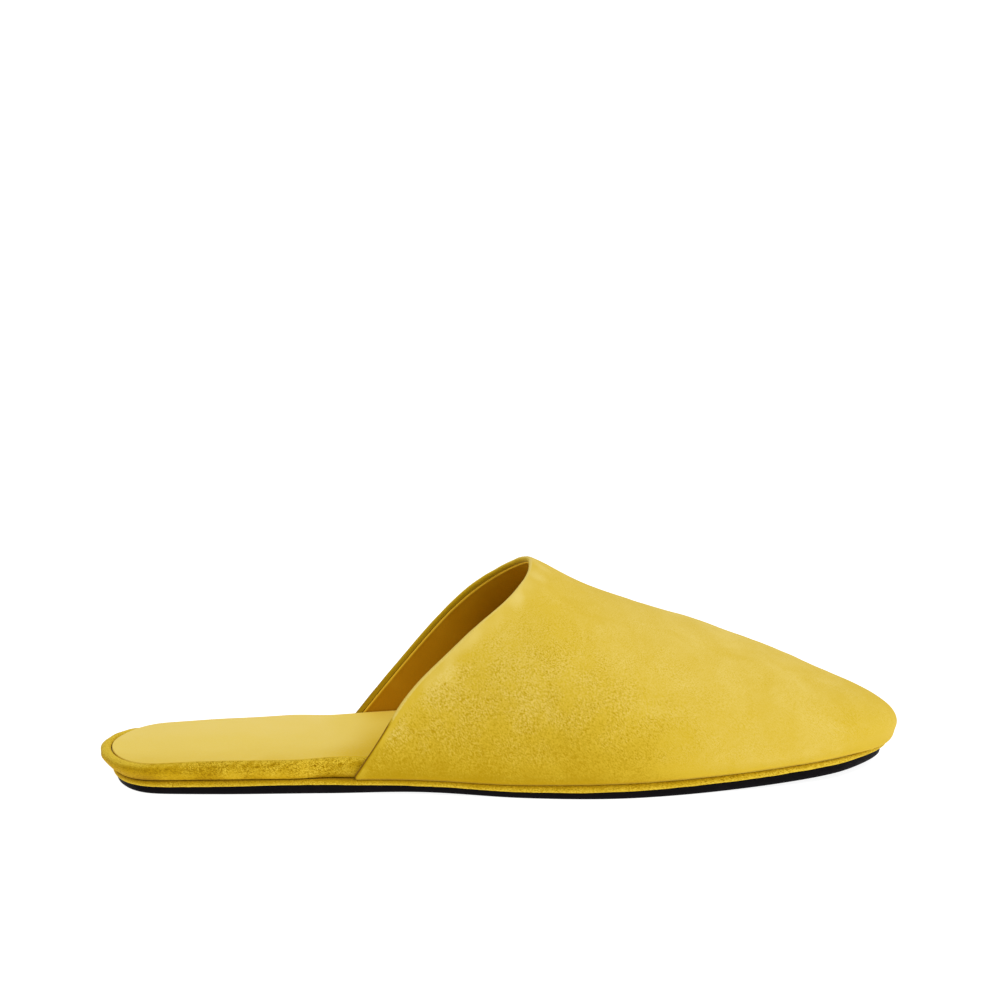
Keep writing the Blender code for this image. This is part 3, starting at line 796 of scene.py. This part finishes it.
def smooth_leather(name, light, base, deep, gloss_roughness, cloudy):
    """Fine-grained lining leather. The mesh gives its tone, much of it painted shade: -1 deep, 1 light.
    """
    shader = Shader(name, base, gloss_roughness)
    preset(shader.surface, {"Specular IOR Level": 0.09})
    tone = shader.field("tone")
    clouds = shader.noise(22, detail=2.0, warp=0.5)
    pores = shader.specks(0.55)
    creases = shader.noise(0.9, detail=3.0, rough=0.6)
    shade = shader.plus(shader.times(shader.minus(clouds, 0.5), cloudy), 0.5)
    shade = shader.plus(shade, shader.times(tone, 0.5), clamp=True)
    colour = shader.three_tones(shade, deep, base, light, 0.5)
    colour = shader.mix(shader.fit(pores, 0.0, 0.22, 0.12, 0.0), colour, deep)
    relief = shader.plus(shader.times(pores, 0.6), shader.times(creases, 0.5))
    normal = shader.bump(relief, GRAIN_HEIGHT, 0.35)
    roughness = shader.fit(creases, 0.3, 0.7, gloss_roughness - 0.06, gloss_roughness + 0.08)
    return shader.done(colour, normal, roughness)


def black_rubber():
    """Matt rubber with a little dust and upright scuffs."""
    shader = Shader("black_rubber", RUBBER, 0.6)
    preset(shader.surface, {"Specular IOR Level": 0.06})
    dust = shader.fit(shader.noise(9, detail=4.0), 0.45, 0.8)
    scuffs = shader.noise(0.8, detail=4.0, stretch=(3.0, 3.0, 0.5))
    colour = shader.mix(shader.times(dust, 0.4), RUBBER_CLEAN, RUBBER_DUSTY)
    roughness = shader.fit(scuffs, 0.3, 0.75, 0.52, 0.74)
    grain = shader.noise(0.5, detail=3.0, rough=0.6)
    return shader.done(colour, shader.bump(grain, GRAIN_HEIGHT, 0.35), roughness)


def insole_board():
    shader = Shader("insole_board", BOARD, 0.9)
    fibres = shader.noise(0.8, detail=3.0, stretch=(3.0, 1.0, 1.0))
    colour = shader.mix(shader.fit(fibres, 0.3, 0.7), BOARD_DARK, BOARD_LIGHT)
    return shader.done(colour, shader.bump(fibres, FIBRE_HEIGHT, 0.5))


upper_suede = suede(
    "upper_suede", SUEDE_LIGHT, SUEDE_BASE, SUEDE_DEEP, sheen=0.12, streak_turn=(0, -42, 0)
)
rim_suede = suede(
    "rim_suede", RIM_SUEDE_LIGHT, RIM_SUEDE_BASE, RIM_SUEDE_DEEP, sheen=0.06, streak_turn=(0, -60, 20)
)
sock_leather = smooth_leather(
    "sock_leather", SOCK_LIGHT, SOCK_BASE, SOCK_DEEP, gloss_roughness=0.5, cloudy=0.25
)
lining_leather = smooth_leather(
    "lining_leather", LINING_LIGHT, LINING_BASE, LINING_DEEP, gloss_roughness=0.6, cloudy=0.5
)
rubber = black_rubber()


# The upper: suede outside with a turned edge, lined inside


def side_grid(inner_side):
    """Angles and rises of one side's grid, rows from the rim up, columns from collar to toe."""
    rises = np.append(SEAM_RISES, np.linspace(FIRST_WIDE_RISE, 1.0, SIDE_ROWS))
    start = collar_angle(rises, inner_side)
    middle = float(angle_at(COLLAR_BREAK / SOLE_LENGTH))
    opening = np.linspace(0, 1, OPEN_COLUMNS, endpoint=False)
    first = start[:, None] + (middle - start[:, None]) * opening
    rest = np.broadcast_to(np.linspace(middle, TIP, TOE_COLUMNS + 1), (len(rises), TOE_COLUMNS + 1))
    return np.concatenate([first, rest], 1), rises[:, None]


def collar_pace(angles, rises, inner_side):
    """Angle per metre square to the collar, at each row's start."""
    start = angles[:, :1]
    nudge = 1e-3
    here = upper_point(mirrored(start, inner_side), rises)[:, 0]
    ahead = upper_point(mirrored(start + nudge, inner_side), rises)[:, 0]
    forward = (ahead - here) / nudge
    tangent = unit(np.gradient(here, axis=0))
    square = np.linalg.norm(np.cross(tangent, forward), axis=-1)
    return 1 / square[:, None]


def collar_distance(angles, pace):
    return (angles - angles[:, :1]) / pace


def layer(angles, rises, inner_side, depth):
    """Points at a depth under the upper's outside."""
    turned = mirrored(angles, inner_side)
    points = upper_point(turned, rises)
    normal = upper_normal(turned, rises)
    return points - np.asarray(depth)[..., None] * normal


def toe_end(x):
    """1 at the toe tip, 0 from the sides of the toe back."""
    return smooth(1 - (SOLE_LENGTH - x) / TOE_END_LENGTH)


def outside_depth(points):
    """Turns the suede's outside in at the seam, with a soft roll above it."""
    height = points[..., 2] - rim_top(points[..., 0]) - GAP
    roll = SEAM_ROLL * hump(height, SEAM_ROLL_HEIGHT, SEAM_ROLL_WIDTH)
    tuck = SEAM_TUCK * (1 - smooth(height / SEAM_TUCK_HEIGHT))
    return tuck - roll - waves(points, VAMP_WAVES) * smooth(height / WAVES_START)


def edge_round(outer, inner, steps):
    """Half round between two lines of points, standing away towards the heel."""
    along = np.gradient(outer, axis=0)
    through = (outer - inner) / 2
    away = unit(np.cross(along, through)) * np.linalg.norm(through, axis=-1, keepdims=True)
    away = np.where(away[:, :1] > 0, -away, away)
    turns = np.linspace(0, math.pi, steps + 2)[1:-1]
    middle = (outer + inner) / 2
    return np.stack([middle + through * math.cos(t) + away * math.sin(t) for t in turns], 1)


def both_sides(make_side):
    """Each array of a side, its rows running from the outer foot over the spine to the inner foot."""
    outer, inner = make_side(False), make_side(True)
    return {key: np.concatenate([outer[key], inner[key][-2::-1]]) for key in outer}


def close_feet(skin, index, columns):
    """Closes the wall's two feet, and the tip where both sides meet."""
    for foot in (index[0], index[-1]):
        outside, back = foot[:columns][::-1], foot[-columns:]
        skin.quads(np.stack([outside, back]))
        skin.polygon(foot[columns - 1 : len(foot) - columns + 1])


def vamp_side(inner_side):
    """A side's rows run back along the outside, round the turned edge and forward along the back."""
    angles, rises = side_grid(inner_side)
    pace = collar_pace(angles, rises, inner_side)
    plain = layer(angles, rises, inner_side, 0.0)
    outside = layer(angles, rises, inner_side, outside_depth(plain))
    near_rim = 1 - smooth((plain[..., 2] - plain[0, :, 2]) / OVERHANG_HEIGHT)
    outside[..., 2] -= TOE_OVERHANG * toe_end(outline_x(angles)) * near_rim
    outside[0, :, 2] = rim_top(outside[0, :, 0]) + SUEDE_CLEARANCE
    facing_angles = angles[:, :1] + FACING_STEPS * pace
    facing_depth = np.broadcast_to(WALL - FACING_RISES, facing_angles.shape)
    facing = layer(facing_angles, rises, inner_side, facing_depth)
    drop_angles = facing_angles[:, -1:] + 0.1 * GROOVE_WIDTH * pace
    drop = layer(drop_angles, rises, inner_side, WALL - GROOVE_DEPTH)
    back_angles = np.maximum(angles, angles[:, :1] + LINING_START * pace)
    back = layer(back_angles, rises, inner_side, SUEDE_THICKNESS)
    edge = edge_round(outside[:, 0], facing[:, 0], 7)
    return dict(
        loop=np.concatenate([outside[:, ::-1], edge, facing, drop, back], 1),
        shown=plain,
        distance=collar_distance(angles, pace),
        height=plain[..., 2] - rim_top(plain[..., 0]),
    )


def vamp_fields(points, distance, height):
    """Where the nap stands up, and where the suede is lighter or deeper, mostly painted light and
    shade.
    """
    x, z = points[..., 0], points[..., 2]
    upper = np.clip(height / LIGHT_HEIGHT, 0, 1)
    rearward = 1 - fade(x, "nap_forward")
    lower = 1 - fade(z, "nap_upward")
    edge_nap = EDGE_NAP_LENGTH + EDGE_NAP_GROWTH * fade(z, "edge_nap_upward")
    off_edge = ramp(distance, EDGE_BARE, edge_nap)
    off_seam = 0.55 + 0.45 * fade(height, "seam_nap_upward")
    nap = np.clip((0.25 + 0.75 * rearward) * (0.25 + 0.75 * lower) * off_edge * off_seam, 0, 1)
    band = hump(distance, 0, COLLAR_BAND)
    seam = hump(height, 0, SEAM_SHADE)
    toe = fade(x, "light_forward") - 0.6 * fade(x, "toe_tip")
    low = (1 - fade(height, "deep_upward")) * (1 - 1.15 * fade(x, "deep_forward"))
    # Painted highlights in patches along the collar edge. The tone also paints light towards the top
    # and the toe, and shade low down, towards the heel and by the seam.
    patches_and_painted_light = np.clip(ripple(points, **VAMP_PAINTED_HIGHLIGHTS), 0, None) * hump(distance, PAINTED_HIGHLIGHT_EDGE, PAINTED_HIGHLIGHT_REACH)
    tone = 0.15 * band - 0.4 * seam + 0.4 * toe + 0.45 * upper - 0.55 * low + 0.4 * patches_and_painted_light - 0.2
    return nap, tone


def make_vamp():
    sides = both_sides(vamp_side)
    shown = sides["shown"]
    columns = shown.shape[1]
    nap, tone = vamp_fields(shown, sides["distance"], sides["height"])
    hidden = sides["loop"].shape[1] - columns
    # The turned edge: a painted highlight on its top, then painted shade down the facing and the back.
    fold = np.full((len(tone), hidden), BACK_TONE)
    fold[:, : len(FOLD_TONES)] = FOLD_TONES
    # Painted shadow on the edge's lower part, by the sock.
    collar = shown[:, :1]
    edge_shadow = 1 - fade(collar[..., 2], "edge_shadow_upward")
    edge_shadow = edge_shadow * (0.8 + 0.2 * smooth(-collar[..., 1] / MM))
    fold[:, : len(SHADOWED_EDGE_TONES)] += edge_shadow * (np.array(SHADOWED_EDGE_TONES) - FOLD_TONES)
    nap = np.concatenate([nap[:, ::-1], np.full((len(nap), hidden), FOLD_NAP)], 1)
    tone = np.concatenate([tone[:, ::-1], fold], 1)
    skin = Skin()
    index = skin.add(sides["loop"], nap=nap, tone=tone)
    skin.quads(index)
    close_feet(skin, index, columns)
    skin.make("vamp", upper_suede, ["upper"])


def lining_side(inner_side):
    """A side's rows run back behind the suede, round the lining's edge and forward inside."""
    angles, rises = side_grid(inner_side)
    pace = collar_pace(angles, rises, inner_side)
    edge_angles = angles[:, :1] + (LINING_START + LINING_EDGE_STEPS) * pace
    edge_depth = np.broadcast_to(WALL + LINING_EDGE_DEPTHS, edge_angles.shape)
    edge = layer(edge_angles, rises, inner_side, edge_depth)
    inside = layer(np.maximum(angles, edge_angles[:, -1:]), rises, inner_side, WALL)
    behind_depth = SUEDE_THICKNESS + LINING_CLEARANCE
    behind = layer(np.maximum(angles, edge_angles[:, :1]), rises, inner_side, behind_depth)
    return dict(
        loop=np.concatenate([behind[:, ::-1], edge, inside], 1),
        distance=collar_distance(angles, pace),
    )


def make_lining():
    sides = both_sides(lining_side)
    columns = sides["distance"].shape[1]
    edge_end = columns + len(LINING_EDGE_TONES)
    tone = np.zeros(sides["loop"].shape[:2])
    # Lighter along the rolled edge, then painted shade that deepens down from the collar.
    tone[:, columns:edge_end] = LINING_EDGE_TONES
    tone[:, edge_end:] = 0.15 - 1.1 * fade(sides["distance"], "lining_forward")
    skin = Skin()
    index = skin.add(sides["loop"], tone=tone)
    skin.quads(index)
    close_feet(skin, index, columns)
    skin.make("lining", lining_leather)


# Rings of points round the shoe

RING_ANGLES = np.linspace(0, 2 * math.pi, RING_STEPS, endpoint=False)


def bridge_rings(skin, rings):
    closed = np.concatenate([rings, rings[:, :1]], 1)
    skin.quads(closed)


def cross_plate(skin, ring, points, across, height=None, **values):
    """Fills a ring with rungs from side to side, at a height that may vary."""
    count = len(ring)
    half = count // 2
    first, second = points[1:half], points[: half : -1]
    shares = np.linspace(0, 1, across + 1)[1:-1]
    inner = first[:, None] + (second - first)[:, None] * shares[None, :, None]
    if height is not None:
        inner[..., 2] = height(inner[..., 0], inner[..., 1])
    filled = skin.add(inner, **{k: v(inner) if callable(v) else v for k, v in values.items()})
    rungs = np.concatenate([ring[1:half, None], filled, ring[: half : -1, None]], 1)
    skin.quads(rungs)
    skin.quads(np.stack([np.full(across + 1, ring[0]), rungs[0]]))
    skin.quads(np.stack([rungs[-1], np.full(across + 1, ring[half])]))


def level_ring(offset, height):
    """A ring this far out from the rim's outline, at a height that depends on x."""
    plan = outline_point(RING_ANGLES, np.broadcast_to(offset, RING_ANGLES.shape))
    return np.concatenate([plan, height(plan[:, 0])[:, None]], 1)


# Rows of a height, as a share of the rim's edge, and an inset in millimetres
RIM_PROFILE = [
    (0.00, 1.30),
    (0.00, 0.30),
    (0.03, 0.12),
    (0.10, 0.00),
    (0.24, -0.02),
    (0.42, 0.02),
    (0.60, 0.08),
    (0.76, 0.18),
    (0.88, 0.30),
    (0.96, 0.48),
    (1.00, 0.85),
]


def make_rim():
    """Suede-covered rim: tucked in at the top seam, its lower edge standing out."""
    drawn_in = TOE_RIM_INSET * toe_end(outline_x(RING_ANGLES))
    normal = outline_normal(RING_ANGLES)
    rings, tones = [], []
    for up, inset in RIM_PROFILE:
        ring = level_ring(-inset * MM - drawn_in, lambda x: rim_top(x) - (1 - up) * rim_edge(x))
        wobble = waves(ring, RIM_WAVES)
        lower = hump(up, 0, 0.3)
        ring[:, 2] += wobble * lower * (inset < 1)
        ring[:, :2] += normal * (wobble * (up < 1) * 0.8)[:, None]
        rings.append(ring)
        # Painted shadow of the upper's overhang along the top, a painted highlight along the lower
        # edge; lighter towards the toe.
        tones.append(0.8 * lower - 0.65 * ramp(up, 0.45, 0.5))
    rings = np.array(rings)
    tone = np.array(tones)[:, None] + 0.5 * fade(rings[..., 0], "rim_forward")
    skin = Skin()
    index = skin.add(rings, nap=0.8, tone=tone)
    bridge_rings(skin, index)
    for end in (0, -1):
        cross_plate(skin, index[end], rings[end], 2, nap=0.5, tone=0.0)
    skin.make("rim_cover", rim_suede, ["rim"])


# Rows of a height, as a share of the outsole's edge, and an inset in millimetres
OUTSOLE_PROFILE = [
    (0.00, 1.00),
    (0.04, 0.55),
    (0.14, 0.22),
    (0.30, 0.05),
    (0.50, 0.00),
    (0.85, 0.00),
    (1.00, 0.04),
]


def underside(x, y):
    """Height of the sole's lower face, with cross grooves under the heel and forepart."""
    from_end = SOLE_LENGTH / 2 - np.abs(x - SOLE_LENGTH / 2)
    room = ramp(from_end, TREAD_END_ROOM, TREAD_FADE)
    room = room * ramp(np.abs(x - PLAIN_WAIST), PLAIN_WAIST_REACH, TREAD_FADE)
    slants = (x + TREAD_SLANT * y, x - TREAD_SLANT * y)
    wave = np.prod([np.cos(2 * math.pi * slant / TREAD_PITCH) for slant in slants], axis=0)
    return lift(x) + TREAD_DEPTH * ramp(wave, 0.05, 0.35) * room


def make_outsole():
    """Thin sheet set in under the rim, its top reaching most of the way across the gap."""
    drawn_in = TOE_OUTSOLE_INSET * toe_end(outline_x(RING_ANGLES))
    rings = []
    for up, inset in OUTSOLE_PROFILE:
        offset = -OUTSOLE_INSET - inset * MM - drawn_in
        rings.append(level_ring(offset, lambda x: lift(x) + up * (outsole_edge(x) + GAP_FILLED)))
    rings = np.array(rings)
    skin = Skin()
    index = skin.add(rings)
    bridge_rings(skin, index)
    cross_plate(skin, index[-1], rings[-1], 2)

    # Underside: a smooth border, then a grid with the tread.
    border = level_ring(-OUTSOLE_INSET - TREAD_BORDER, lift)
    border_index = skin.add(border)
    bridge_rings(skin, np.stack([index[0], border_index]))
    cross_plate(skin, border_index, border, 64, underside)
    skin.make("outsole_rubber", rubber, ["outsole"])


# Footbed


def wall_room(angles, share):
    """Offset from the rim's edge of the upper's inside, level with this share of the footbed."""

    def too_low(rise):
        inside = layer(angles, rise, False, WALL)
        return inside[..., 2] < footbed_surface(inside[..., 0], inside[..., 1], share)

    rise = halve(np.zeros(angles.shape), np.ones(angles.shape), too_low)
    inside = layer(angles, rise, False, WALL)
    plan = outline_point(angles)
    return np.sum((inside[..., :2] - plan) * outline_normal(angles), -1)


def under_upper(angles):
    return smooth((outline_x(angles) - COLLAR_FOOT + TUCK_START) / (TUCK_START - TUCK_END))


def footbed_edge(angles, share):
    covered = under_upper(angles)
    flare = WRAP_SIDE_FLARE + (WRAP_BACK_FLARE - WRAP_SIDE_FLARE) * heel_backness(angles)
    free = flare * np.sin(np.clip(share / FLARE_SHARE, 0, 1) * math.pi / 2) ** FLARE_POWER
    room = wall_room(angles, share) - GAP
    return free + (room - free) * covered


def footbed_point(angles, share, inset):
    plan = outline_point(angles, footbed_edge(angles, share) - inset)
    return np.concatenate([plan, footbed_surface(plan[..., 0], plan[..., 1], share)[..., None]], -1)


def below_top(angles, depth, inset):
    share = 1 - depth / footbed_height(outline_x(angles))
    return footbed_point(angles, share, inset)


def lip_width(angles):
    start = np.where(angles > TIP, INNER_LIP_TAPER_START, LIP_TAPER_START)
    end = np.where(angles > TIP, INNER_LIP_TAPER_END, WRAP_END)
    narrowed = smooth((outline_x(angles) - start) / (end - start))
    return WRAP_LIP + (WRAP_THICKNESS - WRAP_LIP) * narrowed


def sock_inset(angles):
    beyond_wrap = (outline_x(angles) - WRAP_END - GAP) / SOCK_WIDENING
    return (lip_width(angles) + GAP) * (1 - smooth(beyond_wrap))


def inner_cover(angles):
    """1 where the sock reaches over the wrap's edge, along the inner side."""
    return fade(outline_x(angles), "cover_forward") * (angles > TIP)


def sock_tone(points):
    """Paler towards the inner side; deeper towards the collar, painted shade under the vamp."""
    across = fade(points[..., 1], "sock_across")
    return 0.85 * across - 0.5 - 0.75 * fade(points[..., 0], "sock_forward")


# The edge rows darken downwards: painted shade in the groove round the sock.
SOCK_PROFILE = table(
    "depth inset tone",
    (1.15, 0.10, -0.9),
    (0.60, 0.00, -0.5),
    (0.30, 0.03, -0.1),
    (0.12, 0.15, 0.1),
    (0.02, 0.40, 0.1),
    (0.00, 0.90, 0.0),
)


def sock_top(x, y):
    points = np.stack([x, y, np.zeros_like(x)], -1)
    return footbed_surface(x, y, 1.0) + waves(points, SOCK_WAVES)


def sock_underneath(x, y):
    return footbed_surface(x, y, 1.0) - SOCK_PROFILE[0]["depth"] * MM


def make_sock():
    inset = sock_inset(RING_ANGLES)
    covering = inner_cover(RING_ANGLES) * (inset > COVER_INSET)
    inset = inset + (COVER_INSET - inset) * covering
    rings = np.array(
        [below_top(RING_ANGLES, row["depth"] * MM, inset + row["inset"] * MM) for row in SOCK_PROFILE]
    )
    tone = sock_tone(rings) + as_rows(SOCK_PROFILE, "tone")
    skin = Skin()
    index = skin.add(rings, tone=tone)
    bridge_rings(skin, index)
    cross_plate(skin, index[0], rings[0], 2, sock_underneath, tone=-0.5)
    cross_plate(skin, index[-1], rings[-1], 44, sock_top, tone=sock_tone)
    skin.make("sock_leather", sock_leather, ["sock"])


# The heel wrap runs up the footbed's edge, over its lip and down inside. Rows outside hold a
# height, as a share of the footbed, and an inset in millimetres. Rows over the lip hold a depth
# and an inset as shares of the sock's thickness and of the lip's width.

WRAP_OUTSIDE = [
    (0.00, 0.16),
    (0.006, 0.02),
    (0.03, -0.08),
    (0.08, -0.18),
    (0.16, -0.28),
    (0.26, -0.36),
    (0.38, -0.32),
    (0.49, -0.20),
    (0.59, -0.08),
    (0.68, 0.02),
    (0.78, 0.10),
    (0.87, 0.30),
    (0.94, 0.66),
    (0.99, 1.10),
    (1.02, 1.60),
    (1.03, 2.10),
    (1.025, 2.60),
]

WRAP_OVER = table(
    "depth inset pucker",
    (0.02, 0.82, 0.5),
    (0.16, 0.92, 0.2),
    (0.45, 0.985, 0.0),
    (1.00, 1.00, 0.0),
)

WRAP_INSIDE = (0.60, 0.35, 0.01)


def wrap_rows(angles):
    """The wrap's rows of points, with what each row has of nap, tone, puckers and lip."""
    lip = lip_width(angles)
    # Painted light on the shoulder and painted shade at the foot; over the lip and inside, painted
    # shade that deepens downwards.
    rows = []
    for up, inset in WRAP_OUTSIDE:
        inset_here = inset * MM * np.where(up > 0.7, lip / WRAP_LIP, 1.0)
        rows.append(
            dict(
                points=footbed_point(angles, up, inset_here),
                nap=0.55 + 0.45 * smooth(up / 0.8),
                tone=0.4 * ramp(up, 0.75, 0.25) - 0.35 * (1 - smooth(up / 0.2)),
                pucker=min(1.0, up * 2),
                lip=ramp(up, 0.8, 0.2),
            )
        )
    for row in WRAP_OVER:
        points = below_top(angles, row["depth"] * SOCK_THICKNESS, row["inset"] * lip)
        tone = -0.3 - 0.6 * row["depth"]
        rows.append(dict(points=points, nap=0.5, tone=tone, pucker=row["pucker"], lip=1.0))
    for share in WRAP_INSIDE:
        points = footbed_point(angles, share, WRAP_THICKNESS)
        rows.append(dict(points=points, nap=0.2, tone=-0.5, pucker=0.0, lip=0.0))
    return rows


def make_heel_wrap():
    """Suede over the insole's edge: tucked in at the rim, round at the shoulder, puckered behind."""
    end = float(angle_at(WRAP_END / SOLE_LENGTH))
    angles = np.linspace(-end, end, WRAP_STEPS) % (2 * math.pi)
    rows = wrap_rows(angles)
    points = np.array(column(rows, "points"))
    nap, tone, on_lip = as_rows(rows, "nap"), as_rows(rows, "tone"), as_rows(rows, "lip")
    under_sock = inner_cover(angles) * (SOCK_THICKNESS + COVER_CLEARANCE)
    ceiling = footbed_surface(points[..., 0], points[..., 1], 1.0) - under_sock
    points[..., 2] = np.where(under_sock > 0, np.minimum(points[..., 2], ceiling), points[..., 2])

    # Puckers, strongest behind the heel, none on the hidden side.
    rear = heel_backness(angles)
    pucker = waves(points * UPRIGHT_STRETCH, UPRIGHT_PUCKERS) + waves(points, PUCKERS)
    strength = (0.35 + 0.65 * rear) * as_rows(rows, "pucker")
    points[..., :2] += outline_normal(angles) * (pucker * strength)[..., None]

    # Frayed specks, worn patches, painted light towards the collar, the stain on the outer side, and a
    # painted highlight on the lip behind the heel, with the back below it darker.
    frayed = np.clip(ripple(points, **WRAP_FRAYED), 0, None) * ramp(nap, 0.8, 0.2)
    patches_and_painted_light = 0.22 * ripple(points, **WRAP_WORN) + 0.3 * fade(points[..., 0], "wrap_forward")
    patches_and_painted_light -= 0.9 * hump(points[..., 0], STAIN_X, STAIN_REACH) * (angles < TIP)
    tone = tone + patches_and_painted_light * (1 - 0.6 * rear) - 0.6 * frayed * (1 - rear) + rear * (1.1 * on_lip - 0.3)
    skin = Skin()
    index = skin.add(points, nap=nap, tone=tone)
    skin.quads(np.concatenate([index, index[:1]], 0))
    skin.polygon(index[:, 0])
    skin.polygon(index[:, -1])
    skin.make("heel_wrap_suede", rim_suede, ["heel_wrap"])


make_vamp()
make_lining()
make_rim()
make_outsole()
make_sock()
make_heel_wrap()

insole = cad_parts["insole"]
insole.data.materials.clear()
insole.data.materials.append(insole_board())


# Floor, light and camera


def make_floor():
    mesh = bpy.data.meshes.new("floor")
    reach = 12.0
    corners = [(-reach, -reach, 0), (reach, -reach, 0), (reach, reach, 0), (-reach, reach, 0)]
    mesh.from_pydata(corners, [], [(0, 1, 2, 3)])
    floor = bpy.data.objects.new("floor", mesh)
    bpy.context.scene.collection.objects.link(floor)
    shader = Shader("pale_floor", (0.46, 0.46, 0.46), 0.9)
    preset(shader.surface, {"Specular IOR Level": 0.0})
    preset(shader.surface, {"Emission Color": (1, 1, 1, 1), "Emission Strength": 0.92})
    mesh.materials.append(shader.material)


def area_light(name, position, target, size, power):
    light = bpy.data.lights.new(name, "AREA")
    light.shape = "DISK"
    light.size = size
    light.energy = power
    holder = bpy.data.objects.new(name, light)
    holder.location = position
    aim = Vector(target) - Vector(position)
    holder.rotation_mode = "QUATERNION"
    holder.rotation_quaternion = aim.to_track_quat("-Z", "Y")
    bpy.context.scene.collection.objects.link(holder)


def make_light():
    world = bpy.data.worlds.new("studio")
    world.use_nodes = True
    preset(world.node_tree.nodes["Background"], {"Color": (1, 1, 1, 1), "Strength": 0.6})
    bpy.context.scene.world = world
    bpy.context.scene.view_settings.view_transform = "Standard"
    area_light("top_key", position=(0.75, -0.35, 1.5), target=(0.02, 0, 0.03), size=1.0, power=12.5)


def make_camera():
    """Looks from the outer side and a little above, as the photo does."""
    turn, height = math.radians(-2.4), math.radians(12.0)
    right = Vector((math.cos(turn), math.sin(turn), 0))
    back = Vector(
        (math.sin(turn) * math.cos(height), -math.cos(turn) * math.cos(height), math.sin(height))
    )
    up = back.cross(right)
    aim = Vector((0.32, -3.30, 38.0)) * MM
    distance, sideways, raised = 1600, -0.897, 60.26
    data = bpy.data.cameras.new("camera")
    data.sensor_width = 36.0
    data.lens = 160.6
    data.clip_start, data.clip_end = 0.05, 60.0
    camera = bpy.data.objects.new("camera", data)
    turned = Matrix((right, up, back)).transposed().to_4x4()
    turned.translation = aim + (distance * back + sideways * right + raised * up) * MM
    camera.matrix_world = turned
    bpy.context.scene.collection.objects.link(camera)
    bpy.context.scene.camera = camera


make_floor()
make_light()
make_camera()
